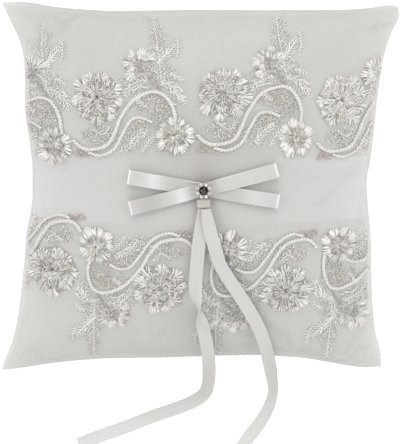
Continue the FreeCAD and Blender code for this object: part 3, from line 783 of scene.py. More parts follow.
def petals(work, centre, radius, turn, count, threads, inner, width, lift, tones, hues=(0,),
           span=2 * math.pi):
    """A tier of satin-stitch petals: threads fan out in each, to a round tip, painted darker at its sides
    as shade between the petals.
    """
    axis = turn + (np.arange(count) - (count - 1) / 2 * (span < 6)) * span / count
    axis = (axis + dice.normal(0, 0.09, count))[:, None]
    size = (radius * dice.uniform(0.90, 1.07, count))[:, None]
    f = np.linspace(-1, 1, threads)[None] + dice.normal(0, 0.05, (count, threads))
    fan = span / count / 2 * 1.12
    tip = size * (1 - 0.24 * np.abs(f) ** 2.2) * dice.uniform(0.95, 1.03, f.shape)
    start = inner * radius * (1 + 0.35 * dice.uniform(0, 1, f.shape))
    # Painted shade: threads are darker towards the sides of each petal, and about one in eight is painted
    # far darker, as shade between the threads.
    tone = dice.uniform(*tones, f.shape) * (1 - 0.30 * np.abs(f) ** 3)
    tone = np.where(dice.uniform(0, 1, f.shape) < 0.13, 0.2 * tone, tone * 1.12)
    work.add(polar(centre, start, axis + fan * f * 0.45).reshape(-1, 2),
             polar(centre, tip, axis + fan * f).reshape(-1, 2), (0.05 * f).ravel(),
             (width * dice.uniform(0.85, 1.15, f.shape)).ravel(), lift, 0.55, tone.ravel(),
             dice.choice(hues, f.size))


def knots(work, centre, radius, count, lift, tones, hues, size=0.85):
    """Small round knots scattered over a disc."""
    angle = dice.uniform(0, 2 * math.pi, count)
    spot = polar(centre, radius * np.sqrt(dice.uniform(0, 1, count)), angle)
    aim = dice.uniform(0, math.pi, count)[:, None]
    end = spot + size * np.concatenate([np.cos(aim), np.sin(aim)], axis=1)
    work.add(spot, end, 0.15, size * 0.9, lift, 0.3, dice.uniform(*tones, count), dice.choice(hues, count))


def large_flower(work, centre, radius, turn, bright):
    """Four tiers of petals and a knotted middle, over a dark ground of flat threads that paints the shade
    between them.
    """
    centre = np.array(centre, float)
    angle = np.linspace(0, 2 * math.pi, 60, endpoint=False)
    # The dark ground under the petals is painted shade, seen in the gaps between the stitches.
    work.add(polar(centre, 0.05 * radius, angle), polar(centre, 0.86 * radius, angle), 0.0, 1.5, 0.30, 0.1,
             0.24 + bright, 0.08)
    petals(work, centre, radius, turn, 9, 17, 0.60, 0.42, 0.75, (0.95, 1.3), (0, 0, 0, 0.1, -0.12))
    petals(work, centre, 0.76 * radius, turn + 0.4, 8, 12, 0.56, 0.42, 1.1, (0.80 + bright, 1.25),
           (0, 0, 0.12, -0.12))
    petals(work, centre, 0.54 * radius, turn + 0.1, 7, 8, 0.40, 0.42, 1.4, (0.75 + bright, 1.2),
           (0, 0, 0.15, -0.12))
    petals(work, centre, 0.33 * radius, turn, 6, 5, 0.20, 0.46, 1.7, (0.60 + bright, 1.1), (0, 0, 0.3))
    knots(work, centre, 0.64 * radius, 120, 2.15, (0.25 + 1.6 * bright, 1.45), (0, 0.15, -0.15), 0.62)
    knots(work, centre, 0.12 * radius, 12, 2.4, (0.2, 0.6), (0.5, 0.3), 0.7)


def mid_flower(work, centre, radius, turn, bright):
    """Bright open petals on one side and finer, tinted ones on the other."""
    centre = np.array(centre, float)
    angle = np.linspace(0, 2 * math.pi, 48, endpoint=False)
    # The dark ground under the petals is painted shade, seen in the gaps between the stitches.
    work.add(polar(centre, 0.1 * radius, angle), polar(centre, radius * 0.84, angle), 0.0, 1.2, 0.30, 0.1,
             0.36 + bright, 0.08)
    petals(work, centre, 1.06 * radius, turn - 0.7, 5, 14, 0.44, 0.46, 0.8, (0.88, 1.15), (0,), 3.6)
    petals(work, centre, 0.92 * radius, turn + 2.5, 4, 12, 0.44, 0.44, 0.7, (0.72 + bright, 1.1),
           (0.0, 0.15, -0.2), 2.7)
    petals(work, centre, 0.60 * radius, turn, 7, 6, 0.30, 0.52, 1.2, (0.6, 1.1), (0, 0.2, -0.25))
    petals(work, centre, 0.34 * radius, turn, 5, 5, 0.12, 0.50, 1.6, (0.6, 1.1), (0, 0.3))
    knots(work, centre, 0.60 * radius, 75, 2.0, (0.0, 1.2), (0.0, 0.3, -0.3), 0.6)


def bud(work, centre, radius, turn, bright):
    """A fan that opens towards turn, over a base in olive and faded pink."""
    centre = np.array(centre, float)
    root = polar(centre, 0.35 * radius, turn + math.pi)
    angle = np.linspace(-2.0, 2.0, 22) + turn
    # The dark ground under the fan is painted shade, seen in the gaps between its stitches.
    work.add(polar(root, 0.2 * radius, angle), polar(root, 1.15 * radius, angle), 0.0, 1.1, 0.3, 0.1,
             0.42 + bright, 0.0)
    petals(work, root, 1.42 * radius, turn, 5, 12, 0.46, 0.42, 0.7, (0.88, 1.15), (0,), 4.0)
    petals(work, root, 0.95 * radius, turn, 4, 8, 0.38, 0.42, 1.1, (0.8, 1.1), (0,), 3.4)
    knots(work, root, 0.50 * radius, 44, 1.6, (0.1, 1.2), (0.0, -0.6, 0.3), 0.55)


def herringbone(work, points, length, tone=(0.6, 1.0), hue=0.0, width=0.44, pitch=1.5, tilt=0.75):
    """Pairs of slanting threads along a line through the points, shorter towards its end."""
    points = np.array(points, float)
    run = np.concatenate([[0], np.cumsum(np.linalg.norm(np.diff(points, axis=0), axis=1))])
    s = np.arange(0.3, run[-1], pitch)
    if not len(s):
        return
    spot = np.stack([np.interp(s, run, points[:, k]) for k in (0, 1)], axis=-1)
    ahead = np.stack([np.interp(s + 0.2, run, points[:, k]) for k in (0, 1)], axis=-1)
    behind = np.stack([np.interp(s - 0.2, run, points[:, k]) for k in (0, 1)], axis=-1)
    heading = np.arctan2(*(ahead - behind).T[::-1])
    size = length * (0.35 + 0.65 * np.sin(math.pi * (0.15 + 0.8 * s / run[-1])))
    for side in (-1, 1):
        aim = heading + side * (tilt + dice.normal(0, 0.08, len(s)))
        far = spot + (size * dice.uniform(0.85, 1.1, len(s)))[:, None] * np.stack(
            [np.cos(aim), np.sin(aim)], axis=-1)
        work.add(spot, far, side * 0.08, width, 0.4, 0.45, dice.uniform(*tone, len(s)), hue)


def seeds(work, centre, radii, count, hue, tone=(0.45, 1.08)):
    """Tiny scattered stitches that fill an oval."""
    angle = dice.uniform(0, 2 * math.pi, count)
    share = np.sqrt(dice.uniform(0, 1, count))
    spot = np.array(centre) + np.stack([radii[0] * share * np.cos(angle), radii[1] * share * np.sin(angle)],
                                       axis=-1)
    aim = dice.uniform(0, math.pi, count)
    work.add(spot, spot + 0.75 * np.stack([np.cos(aim), np.sin(aim)], axis=-1), 0.0, 0.55, 0.4, 0.2,
             dice.uniform(*tone, count), hue * dice.uniform(0.5, 1.1, count))


def wrapped(work, places, half, pitch, lift):
    """Slanting satin stitches over a padded cord, from edge to edge of it."""
    flat, s = through(places)
    stops = np.arange(0.4, s[-1] - 0.4, pitch)
    spot = np.stack([np.interp(stops, s, flat[:, k]) for k in (0, 1)], axis=-1)
    ahead = np.stack([np.interp(stops + 0.3, s, flat[:, k]) for k in (0, 1)], axis=-1)
    along = (ahead - spot) / np.linalg.norm(ahead - spot, axis=1, keepdims=True)
    side = np.stack([-along[:, 1], along[:, 0]], axis=-1)
    slant = half * 0.75 * along + half * side
    # Every other stitch is painted darker, as shade between the stitches over the cord.
    tone = np.where(np.arange(len(stops)) % 2, 0.62, 0.96) * dice.uniform(0.88, 1.08, len(stops))
    work.add(spot - slant, spot + slant, 0.0, pitch * 0.95, lift, half * 0.75, tone,
             dice.choice([0, 0, 0.12, -0.08], len(stops)))


print("motifs ready")

# %% [markdown]
# ### Scrolls and stems
# The scrolls are padded cords: two plies twisted together and couched down along a curve. A
# curve is a cubic through its places in plan, laid on the cover with `cloth_at`.

# %% Lines on the cover
def through(places, step=0.4):
    """A smooth plan curve through places, sampled every step millimetres (Catmull-Rom)."""
    p = np.array(places, float)
    wide = np.concatenate([2 * p[:1] - p[1:2], p, 2 * p[-1:] - p[-2:-1]])
    t = np.linspace(0, 1, 24, endpoint=False)[None, :, None]
    a, b, c, d = [wide[k:len(wide) - 3 + k, None] for k in range(4)]
    curve = 0.5 * (2 * b + (c - a) * t + (2 * a - 5 * b + 4 * c - d) * t ** 2
                   + (3 * b - 3 * c + d - a) * t ** 3)
    curve = np.concatenate([curve.reshape(-1, 2), p[-1:]])
    run = np.concatenate([[0], np.cumsum(np.linalg.norm(np.diff(curve, axis=0), axis=1))])
    s = np.linspace(0, run[-1], max(8, int(run[-1] / step)))
    return np.stack([np.interp(s, run, curve[:, k]) for k in (0, 1)], axis=-1), s


def laid_line(places, radius, lift, ply_radius=0.0, pitch=2.0, phase=0.0):
    """A bar, or one ply of a cord, on the part of the curve that lies on the cover."""
    flat, s = through(places)
    u, v = shares_at(flat[:, 0] * MM, flat[:, 1] * MM)
    keep = (np.abs(u) < 0.985) & (np.abs(v) < 0.985)
    flat, s = flat[keep], s[keep]
    if len(flat) < 8:
        return None
    points, normals = cloth_at(flat[:, 0] * MM, flat[:, 1] * MM)
    along = np.gradient(points, axis=0)
    along /= np.linalg.norm(along, axis=-1, keepdims=True)
    side = np.cross(normals, along)
    turn = (2 * math.pi * s / pitch + phase)[:, None]
    centre = points + normals * lift * MM + ply_radius * MM * (side * np.cos(turn) + normals * np.sin(turn))
    ends = np.minimum(1, np.minimum(s - s[0], s[-1] - s) / 0.8 + 0.25)
    return tubes(centre[None], normals[None], radius * MM * ends[None], 8)


def joined(parts):
    """Several sets of points and faces as one."""
    parts = [part for part in parts if part is not None]
    points, faces, start = [], [], 0
    for some_points, some_faces in parts:
        points.append(some_points)
        faces += [[index + start for index in face] for face in some_faces]
        start += len(some_points)
    return np.concatenate(points), faces


def cord_plies(places, size=1.0):
    """The padding of a scroll: two plies side by side under its satin stitches."""
    return [laid_line(places, 0.50 * size, 0.75 * size, 0.42 * size, 5.0, phase)
            for phase in (0.0, math.pi)]


print("lines ready")

# %% [markdown]
# ### The two bands
# Places in one repeat, from the large flower. The lower band has the same trim turned half
# round, and a little sheared where the cloth was pulled.

# %% Place the embroidery
ORIGINS = {
    "upper": ((-50.0, 44.5), (10.5, 47.3), (70.0, 43.5)),
    "lower": ((41.0, -49.0), (-19.5, -47.5), (-74.6, -40.8)),
}
BUDS = {
    "upper": ((-31.0, 62.0), (32.0, 64.5), (87.0, 57.0), (-85.5, 57.5)),
    "lower": ((18.2, -66.2), (-41.2, -64.0), None, (78.0, -64.4)),
}
MIDDLES = {
    "upper": ((-73.0, 21.4), (-12.5, 26.9), (45.8, 25.8), None),
    "lower": ((69.5, -28.7), (13.0, -28.6), (-50.8, -27.4), None),
}
SPARE = {"upper": (-106.0, 41.0), "lower": (97.0, -47.0)}
BRIGHT = {"upper": (0.02, 0.04, 0.34, 0.05), "lower": (0.02, 0.0, 0.10, 0.0)}
OUTER = ((-12.2, -20.3), (-8.6, -23.6), (-3.5, -24.8), (4.5, -22.9), (8.5, -17.0), (11.5, -9.5),
         (17.0, -1.6), (22.5, 2.0), (27.6, 3.2), (32.2, 1.6), (35.6, -2.4), (37.6, -8.0), (37.8, -14.5))
INNER = ((27.0, -11.5), (21.5, -9.3), (16.5, -10.6), (12.5, -17.2), (8.5, -24.2), (1.8, -27.6),
         (-4.5, -26.2))
LEAF_LINES = (
    (((31.0, 6.0), (29.5, 17.5), (28.0, 28.0), (26.5, 39.0)), 4.6, (0.62, 1.0), 0.0),
    (((29.5, 17.5), (33.0, 22.0), (37.0, 27.5)), 3.4, (0.85, 1.1), 0.0),
    (((37.5, 21.0), (38.6, 26.0), (38.0, 31.0)), 2.6, (0.62, 1.0), 0.0),
    (((29.0, 12.0), (25.0, 15.0), (20.5, 17.0)), 2.4, (0.6, 0.9), -0.45),
    (((31.0, 7.5), (35.0, 6.5), (39.5, 3.0), (42.0, -2.0)), 3.6, (0.85, 1.1), 0.0),
    (((34.5, 12.0), (37.5, 11.5), (40.5, 9.0)), 2.6, (0.75, 1.05), 0.0),
    (((24.5, 9.0), (19.5, 8.0), (15.0, 5.0), (13.6, 0.5)), 3.6, (0.75, 1.05), 0.1),
    (((26.0, 12.0), (21.0, 11.5), (16.5, 9.0)), 2.4, (0.6, 0.95), 0.45),
    (((24.0, -4.0), (20.5, -1.8), (18.5, 1.0)), 2.2, (0.85, 1.1), 0.0),
    (((15.5, -24.5), (19.0, -18.5), (24.5, -15.5)), 3.4, (0.8, 1.1), 0.0),
    (((22.0, -26.0), (25.0, -21.0), (28.0, -18.0)), 2.8, (0.8, 1.05), -0.2),
    (((-2.0, -15.0), (3.0, -17.5), (6.0, -13.5)), 2.6, (0.65, 0.95), 0.2),
)
TWIGS = (
    (28.5, 16.7), (30.1, 19.4), (32.8, 21.8), (36.6, 26.5), None, (32.8, 21.8), (32.8, 25.5), None,
    (17.0, 3.0), (20.5, 5.6), (24.0, 5.0), None, (38.6, 6.4), (41.0, 3.4), None,
    (36.4, 5.0), (38.6, 1.4), None,
)
SEED_FILLS = (
    ((25.5, -3.0), (8.8, 4.4), 190, 0.55), ((31.0, -7.0), (4.8, 5.5), 110, -0.5),
    ((1.0, -18.0), (9.0, 4.8), 190, 0.28), ((19.0, -15.0), (6.0, 4.6), 120, -0.45),
    ((-7.5, -27.0), (5.4, 1.9), 80, 0.95), ((24.0, -12.5), (5.5, 3.4), 90, 0.55),
    ((30.0, 12.0), (8.0, 6.5), 150, -0.12), ((18.0, 7.0), (8.0, 6.0), 130, 0.08),
    ((29.0, 25.0), (5.0, 12.0), 120, 0.0), ((37.0, 2.0), (4.0, 6.0), 80, 0.0),
    ((14.0, -22.0), (7.0, 4.0), 90, 0.0),
)


def placer(band, origin):
    """The function that takes places of one repeat to places on the cover."""
    facing = 1 if band == "upper" else -1

    def put(places):
        places = np.atleast_2d(np.array(places, float)) * facing
        if band == "lower":
            places[:, 0] += 0.20 * places[:, 1]
        return places + np.array(origin)

    return put


for band, origins in ORIGINS.items():
    facing = 1 if band == "upper" else -1
    half_turn = 0.0 if facing > 0 else math.pi
    large, middle, small, leaf_work, stem_work = [Stitching() for _ in range(5)]
    scroll_work, cords, stems = Stitching(), [], []
    for number, origin in enumerate(origins + (SPARE[band],)):
        put = placer(band, origin)
        bright = BRIGHT[band][number]
        large_flower(large, origin, 13.4, 0.5 + 1.3 * number + half_turn, bright)
        mid_flower(middle, MIDDLES[band][number] or put((-23.4, -20.4))[0], 9.6, -0.35 + half_turn, bright)
        bud(small, BUDS[band][number] or put((20.0, 17.0))[0], 6.4, 2.25 + half_turn, bright)
        for places, length, tones, tint in LEAF_LINES:
            herringbone(leaf_work, put(places), length, tones, tint)
            stems.append(laid_line(put(places), 0.32, 0.45))
        for place, radii, count, tint in SEED_FILLS:
            seeds(leaf_work, put(place)[0], radii, count, tint)
        for line in (OUTER, INNER):
            size = 1.0 if line is OUTER else 0.85
            cords += cord_plies(put(line), 0.87 * size)
            wrapped(scroll_work, put(line), 0.94 * size, 0.80, 0.5 * size)
        for first, last in zip(TWIGS, TWIGS[1:]):
            if first and last:
                stem_work.add(put(first), put(last), 0.03, 0.6, 0.6, 0.3, 1.0)
        twig = put(((20.0, 14.0), (26.0, 9.5), (30.5, 3.8)))
        herringbone(stem_work, twig, 1.0, (0.35, 0.7), 0.5, 0.5, 0.8, 1.2)
    large.piece(f"{band}_large_flowers", [f"{band}_lace_large_flowers"])
    middle.piece(f"{band}_mid_flowers", [f"{band}_lace_mid_flowers"])
    small.piece(f"{band}_buds", [f"{band}_lace_buds"])
    leaf_work.piece(f"{band}_leaves", [f"{band}_lace_leaves"])
    stem_work.piece(f"{band}_stems", [f"{band}_lace_stems"], extra=joined(stems))
    scroll_work.piece(f"{band}_scroll_cords", [f"{band}_lace_scroll_cords"], extra=joined(cords))

# %% [markdown]
# ## Ribbon
# The bow and the tails are one flat satin ribbon, 6.5 mm wide. Its section is a thin closed
# strip, so a ribbon is a grid: stations along it, and points round the section. `ribbon` takes
# the path, the normals of its face, its width and how far its face is waved.

# %% Ribbon maker
RIBBON_T = 0.3 * MM
ACROSS = np.linspace(-1, 1, 11)
SECTION_A = np.concatenate([-ACROSS, ACROSS])
SECTION_B = np.repeat([-1.0, 1.0], len(ACROSS))


def ribbon(name, path, normals, width, wave=None, closed=False, **marks):
    """Points path + side * w/2 * a + normal * (t/2 * b + wave(a)), a and b round the section.

    Each of marks is a number for each station, painted on the ribbon for its material.
    """
    if closed:
        along = np.roll(path, -1, axis=0) - np.roll(path, 1, axis=0)
    else:
        along = np.gradient(path, axis=0)
    along /= np.linalg.norm(along, axis=-1, keepdims=True)
    side = np.cross(normals, along)
    side /= np.linalg.norm(side, axis=-1, keepdims=True)
    normals = np.cross(along, side)
    half = np.broadcast_to(width, len(path))[:, None] / 2
    ripple = 0 if wave is None else wave(SECTION_A[None])
    edge = 1 - 0.35 * (np.abs(SECTION_A) > 0.99)
    a = (half * SECTION_A)[..., None]
    b = (RIBBON_T / 2 * SECTION_B * edge + ripple)[..., None]
    points = path[:, None] + side[:, None] * a + normals[:, None] * b
    rows, columns = len(path), len(SECTION_A)
    faces = grid_faces(rows, columns, closed_rows=closed, closed_columns=True)
    if not closed:
        first = list(range(columns))
        faces += [first, [index + (rows - 1) * columns for index in first[::-1]]]
    run = np.concatenate([[0], np.cumsum(np.linalg.norm(np.diff(path, axis=0), axis=1))])
    uv = np.stack(np.broadcast_arrays(run[:, None] / MM, SECTION_A[None] * 3.25), axis=-1)
    piece = add_piece(name, points, faces, uv)
    for key, values in marks.items():
        paint(piece, key, np.repeat(values, columns))
    return piece


ribbon_satin = Cloth("satin_ribbon", Roughness=0.36, Sheen_Weight=0.35, Sheen_Roughness=0.3,
                     Specular_IOR_Level=0.55)
ru, rv = ribbon_satin.parts(ribbon_satin.uv)[:2]
selvedge_and_edge_highlight = (rv.absolute() - 2.85).above(0.0)
ribs = (ru * 14.0).sine() * selvedge_and_edge_highlight
lines = (rv * 38.0 + ribbon_satin.noise(240.0) * 2.0).sine()
soft = ribbon_satin.noise(55.0, 2.0)
streak = ribbon_satin.noise(1.0, 2.0, ribbon_satin.streaks())
# The selvedge mask also paints a highlight along both edges of the ribbon; in the bump and roughness it is
# the woven edge.
woven = (soft * 0.55 + streak * 0.5 + lines * 0.05 + selvedge_and_edge_highlight * 0.35).mix(
    (0.54, 0.532, 0.515, 1), (0.69, 0.685, 0.668, 1))
# A painted highlight: the ribbon is painted near white at its end folds, at bright spots along the bow and
# where a tail lies on the table.
ribbon_with_highlight = ribbon_satin.over(woven, "fold", (0.97, 0.97, 0.96, 1))
# Painted shade: the ribbon is painted darker where the bow's sheens call for it.
ribbon_satin.feed("Base Color", ribbon_satin.over(ribbon_with_highlight, "dark", (0.40, 0.385, 0.365, 1)))
ribbon_satin.feed("Roughness", soft * 0.14 + selvedge_and_edge_highlight * 0.1 + 0.28)
ribbon_satin.bump(lines * 0.5 + ribs * 0.8 + ribbon_satin.noise(600.0, 3.0) * 0.7, 0.16, 0.00012)
print("ribbon ready")

# %% [markdown]
# ## Bow
# Two flattened loops cross at the middle, the rising one over the falling one. Each is pressed
# together and gathered where the thread holds it, and opens towards its rounded ends.

# %% Bow loops
BOW = np.array([1.2, 1.2]) * MM
HALF_LOOP = 37.25 * MM
LOOP_ROUND = 1.6 * MM


def bow_loop(name, degrees, over, sheens, replaced):
    """A closed path: the lower layer from end to end, a half circle, and the upper layer back.

    Each of sheens is a place along the loop and a spread, in millimetres, and how much painted shade
    darkens the satin there, or how much a painted highlight brightens it when it is below 0.
    """
    direction = np.array([math.cos(math.radians(degrees)), math.sin(math.radians(degrees))])
    reach = HALF_LOOP - LOOP_ROUND
    s = np.linspace(-reach, reach, 61)
    share = np.clip((np.abs(s) - 7 * MM) / (reach - 7 * MM), 0, 1)
    gap = (0.55 + 2.2 * share ** 2 * (3 - 2 * share)) * MM
    gathered = np.exp(-(s / (9 * MM)) ** 2)
    ground, _ = cloth_at(BOW[0] + s * direction[0], BOW[1] + s * direction[1])
    low = ground[:, 2] + (0.55 + over * 1.5 * np.exp(-(s / (13 * MM)) ** 2)) * MM
    sag = -0.25 * MM * np.sin(share * math.pi)
    turn = np.linspace(-math.pi / 2, math.pi / 2, 11)[1:-1]
    end_s, end_z, end_gap = s[-1], low[-1], gap[-1]
    past = LOOP_ROUND * np.cos(turn)
    path_s = np.concatenate([s, end_s + past, s[::-1], -end_s - past])
    right_z = end_z + end_gap / 2 * (1 + np.sin(turn))
    left_z = low[0] + gap[0] / 2 * (1 - np.sin(turn))
    path_z = np.concatenate([low, right_z, (low + gap + sag)[::-1], left_z])
    up = np.concatenate([-np.ones(61), np.sin(turn), np.ones(61), -np.sin(turn)])
    out = np.concatenate([np.zeros(61), np.cos(turn), np.zeros(61), -np.cos(turn)])
    path = np.stack([BOW[0] + path_s * direction[0], BOW[1] + path_s * direction[1], path_z], axis=-1)
    normals = np.stack([out * direction[0], out * direction[1], up], axis=-1)
    held = np.concatenate([gathered, np.zeros(9), gathered[::-1], np.zeros(9)])
    width = 7.0 * MM * (1 - 0.14 * np.exp(-(path_s / (9 * MM)) ** 2))

    def wave(a):
        """Lengthwise folds that fade away from the gathered middle."""
        return 0.34 * MM * held[:, None] * np.sin(a * 6.2 + 0.8)

    # The rounded fold at each end of the loop gets a painted highlight, and the sheens paint shade and
    # highlights along it.
    crease = np.exp(-((np.abs(path_s) - HALF_LOOP + 0.4 * MM) / (0.4 * MM)) ** 2)
    shade = sum(depth * np.exp(-((path_s / MM - middle) / wide) ** 2) for middle, wide, depth in sheens)
    loop = ribbon(name, path, normals, width, wave, closed=True, fold=np.maximum(crease, -shade),
                  dark=np.clip(shade, 0, 1) * (1 - crease))
    return finish_piece(loop, ribbon_satin.material, "pillow", replaced)


bow_loop("falling_loop", -9.3, 0.0, ((-25, 4, -0.35), (-14, 5, 0.35), (14, 6, 0.30), (26, 5, -0.12)),
         ["bow_loop_falling"])
bow_loop("rising_loop", 14.6, 1.0, ((-27, 8, 0.55), (-11, 3.5, -0.42), (-5, 2.5, 0.4), (5, 2.5, 0.35)),
         ["bow_loop_rising"])

# %% [markdown]
# ## Knot and thread
# Below the rosette the ribbon is folded into a small pleated block. A doubled thread goes down
# through both loops into the cover.

# %% Knot and bow thread
knot_low, knot_high = [np.array(corner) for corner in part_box("tail_knot")]
knot_middle, knot_half = (knot_low + knot_high) / 2, (knot_high - knot_low) / 2
turn = np.linspace(0, 2 * math.pi, 72, endpoint=False)
across = np.linspace(-1, 1, 23)
swell = (1 - np.abs(across) ** 5) ** 0.4 * 0.5 + 0.5
squared = np.sign(np.cos(turn)) * np.abs(np.cos(turn)) ** 0.55
raised = np.sign(np.sin(turn)) * np.abs(np.sin(turn)) ** 0.55
pleat = 1 + 0.26 * np.maximum(raised, 0) * np.sin(squared * 9.0 + 1.0)
swell_x = across[:, None] * (1 + 0.05 * np.sin(squared * 9.0))
knot_points = np.stack(np.broadcast_arrays(
    knot_middle[0] + knot_half[0] * 0.98 * swell_x,
    knot_middle[1] + knot_half[1] * swell[:, None] * squared,
    knot_middle[2] + knot_half[2] * swell[:, None] * raised * pleat
    + 0.15 * MM * np.cos(across * 1.4)[:, None]), axis=-1)
knot_faces = grid_faces(23, 72, closed_columns=True)
knot_faces = [face[::-1] for face in knot_faces] + [list(range(72))[::-1], [22 * 72 + k for k in range(72)]]
knot = add_piece("pleated_knot", knot_points, [face[::-1] for face in knot_faces])
knot_cloth = Cloth("knot_satin", Roughness=0.42, Sheen_Weight=0.3)
ky = knot_cloth.parts(knot_cloth.place)[1]
crease = (ky * 5200.0 + knot_cloth.noise(400.0) * 1.5).sine()
# The crease stripes paint shade and light along the pleats, as well as bumping them.
knot_cloth.feed("Base Color", (crease * 0.18 + 0.5).mix((0.46, 0.42, 0.37, 1), (0.74, 0.70, 0.65, 1)))
knot_cloth.bump(crease, 0.3, 0.0003)
finish_piece(knot, knot_cloth.material, "pillow", ["tail_knot"])

thread_low, thread_high = [np.array(corner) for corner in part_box("bow_thread")]
axis = (thread_low + thread_high)[:2] / 2
height = np.linspace(thread_low[2], thread_high[2], 40)
PLY_R = 0.17 * MM
PLY_PITCH = 0.9 * MM
twist = height / PLY_PITCH * 2 * math.pi + np.array([[0.0], [math.pi]])
plies = np.stack(np.broadcast_arrays(axis[0] + PLY_R * np.cos(twist), axis[1] + PLY_R * np.sin(twist),
                                     height), axis=-1)
facing_x = np.broadcast_to([1.0, 0.0, 0.0], plies.shape)
bow_tack = add_piece("bow_tack", *tubes(plies, facing_x, PLY_R, 8))
finish_piece(bow_tack, thread.material, "pillow", ["bow_thread"])

# %% [markdown]
# ## Tails
# Each tail is one ribbon that leaves the knot, runs down the pillow, falls over the lower edge
# and comes to rest on the table. Its route is a NURBS curve through the design's points; the
# left tail turns half over on its way, so it is seen on edge for a moment.

# %% Ribbon tails
LEFT_ROUTE = ((1.0, -8.0, 55.4), (0.3, -16.0, 56.5), (-1.2, -26.0, 56.0), (-2.2, -37.0, 54.3),
              (-3.0, -48.0, 52.6), (-1.4, -59.0, 50.2), (1.2, -69.5, 45.9), (3.2, -80.0, 40.2),
              (4.0, -90.0, 32.8), (4.0, -98.0, 22.5), (3.6, -104.5, 12.0), (2.0, -111.0, 4.4),
              (-5.0, -116.2, 1.8), (-15.0, -120.0, 1.0), (-27.0, -124.2, 0.6), (-39.0, -129.2, 0.6),
              (-51.0, -133.2, 0.6), (-63.0, -138.2, 0.6))
RIGHT_ROUTE = ((2.4, -8.0, 56.9), (3.6, -16.5, 57.4), (6.6, -26.5, 56.7), (9.0, -36.0, 54.6),
               (15.0, -45.5, 52.3), (21.3, -55.5, 49.6), (26.6, -64.8, 46.2), (30.8, -74.5, 42.0),
               (33.2, -84.0, 36.0), (34.8, -92.5, 27.0), (36.0, -99.5, 16.5), (36.8, -106.0, 7.5),
               (36.4, -113.5, 1.6), (33.6, -121.5, 0.6), (28.8, -129.0, 0.6), (23.0, -136.2, 0.6),
               (18.2, -144.5, 0.6), (13.5, -153.0, 0.6), (11.0, -162.5, 0.6))


def route_points(name, route):
    """Even points along a NURBS of order 3 through a route."""
    curve = bpy.data.curves.new(name, "CURVE")
    curve.dimensions = "3D"
    spline = curve.splines.new("NURBS")
    spline.points.add(len(route) - 1)
    spline.points.foreach_set("co", [n for p in route for n in (p[0] * MM, p[1] * MM, p[2] * MM, 1.0)])
    spline.order_u = 3
    spline.use_endpoint_u = True
    spline.resolution_u = 16
    holder = bpy.data.objects.new(name, curve)
    mesh = bpy.data.meshes.new_from_object(holder)
    points = read_points(mesh)
    bpy.data.meshes.remove(mesh)
    bpy.data.objects.remove(holder)
    bpy.data.curves.remove(curve)
    run = np.concatenate([[0], np.cumsum(np.linalg.norm(np.diff(points, axis=0), axis=1))])
    s = np.linspace(0, run[-1], int(run[-1] / (1.0 * MM)))
    return np.stack([np.interp(s, run, points[:, k]) for k in range(3)], axis=-1), s


def tail(name, route, bank, replaced):
    """A ribbon along its route, level across, then turned about its own line by bank(s)."""
    path, s = route_points(f"{name}_route", route)
    along = np.gradient(path, axis=0)
    along /= np.linalg.norm(along, axis=-1, keepdims=True)
    level = np.cross(along, [0.0, 0.0, 1.0])
    level /= np.linalg.norm(level, axis=-1, keepdims=True)
    face = np.cross(level, along)
    angle = bank(s / MM)[:, None]
    path = path + np.array([0, 0, 1.0]) * np.abs(np.sin(angle)) * 1.2 * MM
    normals = face * np.cos(angle) + level * np.sin(angle)
    width = 6.6 * MM * (1 - 0.25 * np.exp(-(s / (6 * MM)) ** 2))

    def wave(a):
        """A slight hollow across, and a lazy ripple along."""
        ripple = 0.10 * np.sin(s / MM * 0.21)[:, None] + 0.12
        return ripple * (a ** 2 - 0.4) * MM

    # Painted light: the tail is painted brighter as it runs over the table, as light that the bright table
    # throws on it.
    painted_table_light = 0.28 * np.clip((s / MM - 118.0) / 45.0, 0, 1)
    piece = ribbon(name, path, normals, width, wave, fold=painted_table_light)
    finish_piece(piece, ribbon_satin.material, None, replaced)
    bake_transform(piece)
    print(name, "length", round(float(s[-1]), 4))
    return piece


def half_over(s):
    """Turns by pi around 52 mm along, and leans a little before the table."""
    smooth = 1 / (1 + np.exp(-(s - 52.0) / 4.2))
    return math.pi * smooth + 0.35 * np.exp(-((s - 112) / 9) ** 2)


def nearly_level(s):
    return 0.16 * np.sin(s / 17.0) * np.exp(-((s - 60) / 60) ** 2) - 0.75 * np.exp(-((s - 122) / 20) ** 2)


tail("left_tail_ribbon", LEFT_ROUTE, half_over, ["left_tail_top", "left_tail"])
tail("right_tail_ribbon", RIGHT_ROUTE, nearly_level, ["right_tail_top", "right_tail"])

# %% [markdown]
# ## Rosette
# A dark cut stone sits in a low scalloped cup of warm metal, with eight bright small stones
# round it. The facets are flat, and each is painted its own depth of tone, a painted reflection
# of a different part of the room, as the facets of a real stone mirror it.

# %% Rosette
cup_low, cup_high = [np.array(corner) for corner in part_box("rosette_setting")]
cup_middle = (cup_low + cup_high) / 2
CUP_R = float(cup_high[0] - cup_low[0]) / 2 * 1.2
SPAN = float(cup_high[2] - cup_low[2])
turn = np.linspace(0, 2 * math.pi, 128, endpoint=False)
petal = 1 - 0.13 * (1 - np.abs(np.cos(4 * (turn - math.pi / 8)))) ** 0.8
profile = np.array([(0.30, 0.02), (0.80, 0.0), (0.93, 0.12), (1.0, 0.45), (1.0, 0.78), (0.95, 0.98),
                    (0.90, 1.0), (0.82, 0.92), (0.62, 0.88), (0.58, 0.95), (0.50, 0.95), (0.46, 0.70),
                    (0.30, 0.55)])
scallop = np.where(profile[:, 0:1] > 0.7, petal[None], 1.0)
cup_points = np.stack(np.broadcast_arrays(
    cup_middle[0] + CUP_R * profile[:, 0:1] * scallop * np.cos(turn),
    cup_middle[1] + CUP_R * profile[:, 0:1] * scallop * np.sin(turn),
    cup_low[2] + SPAN * profile[:, 1:2] + 0 * turn), axis=-1)
rows = len(profile)
cup_faces = [face[::-1] for face in grid_faces(rows, 128, closed_columns=True)]
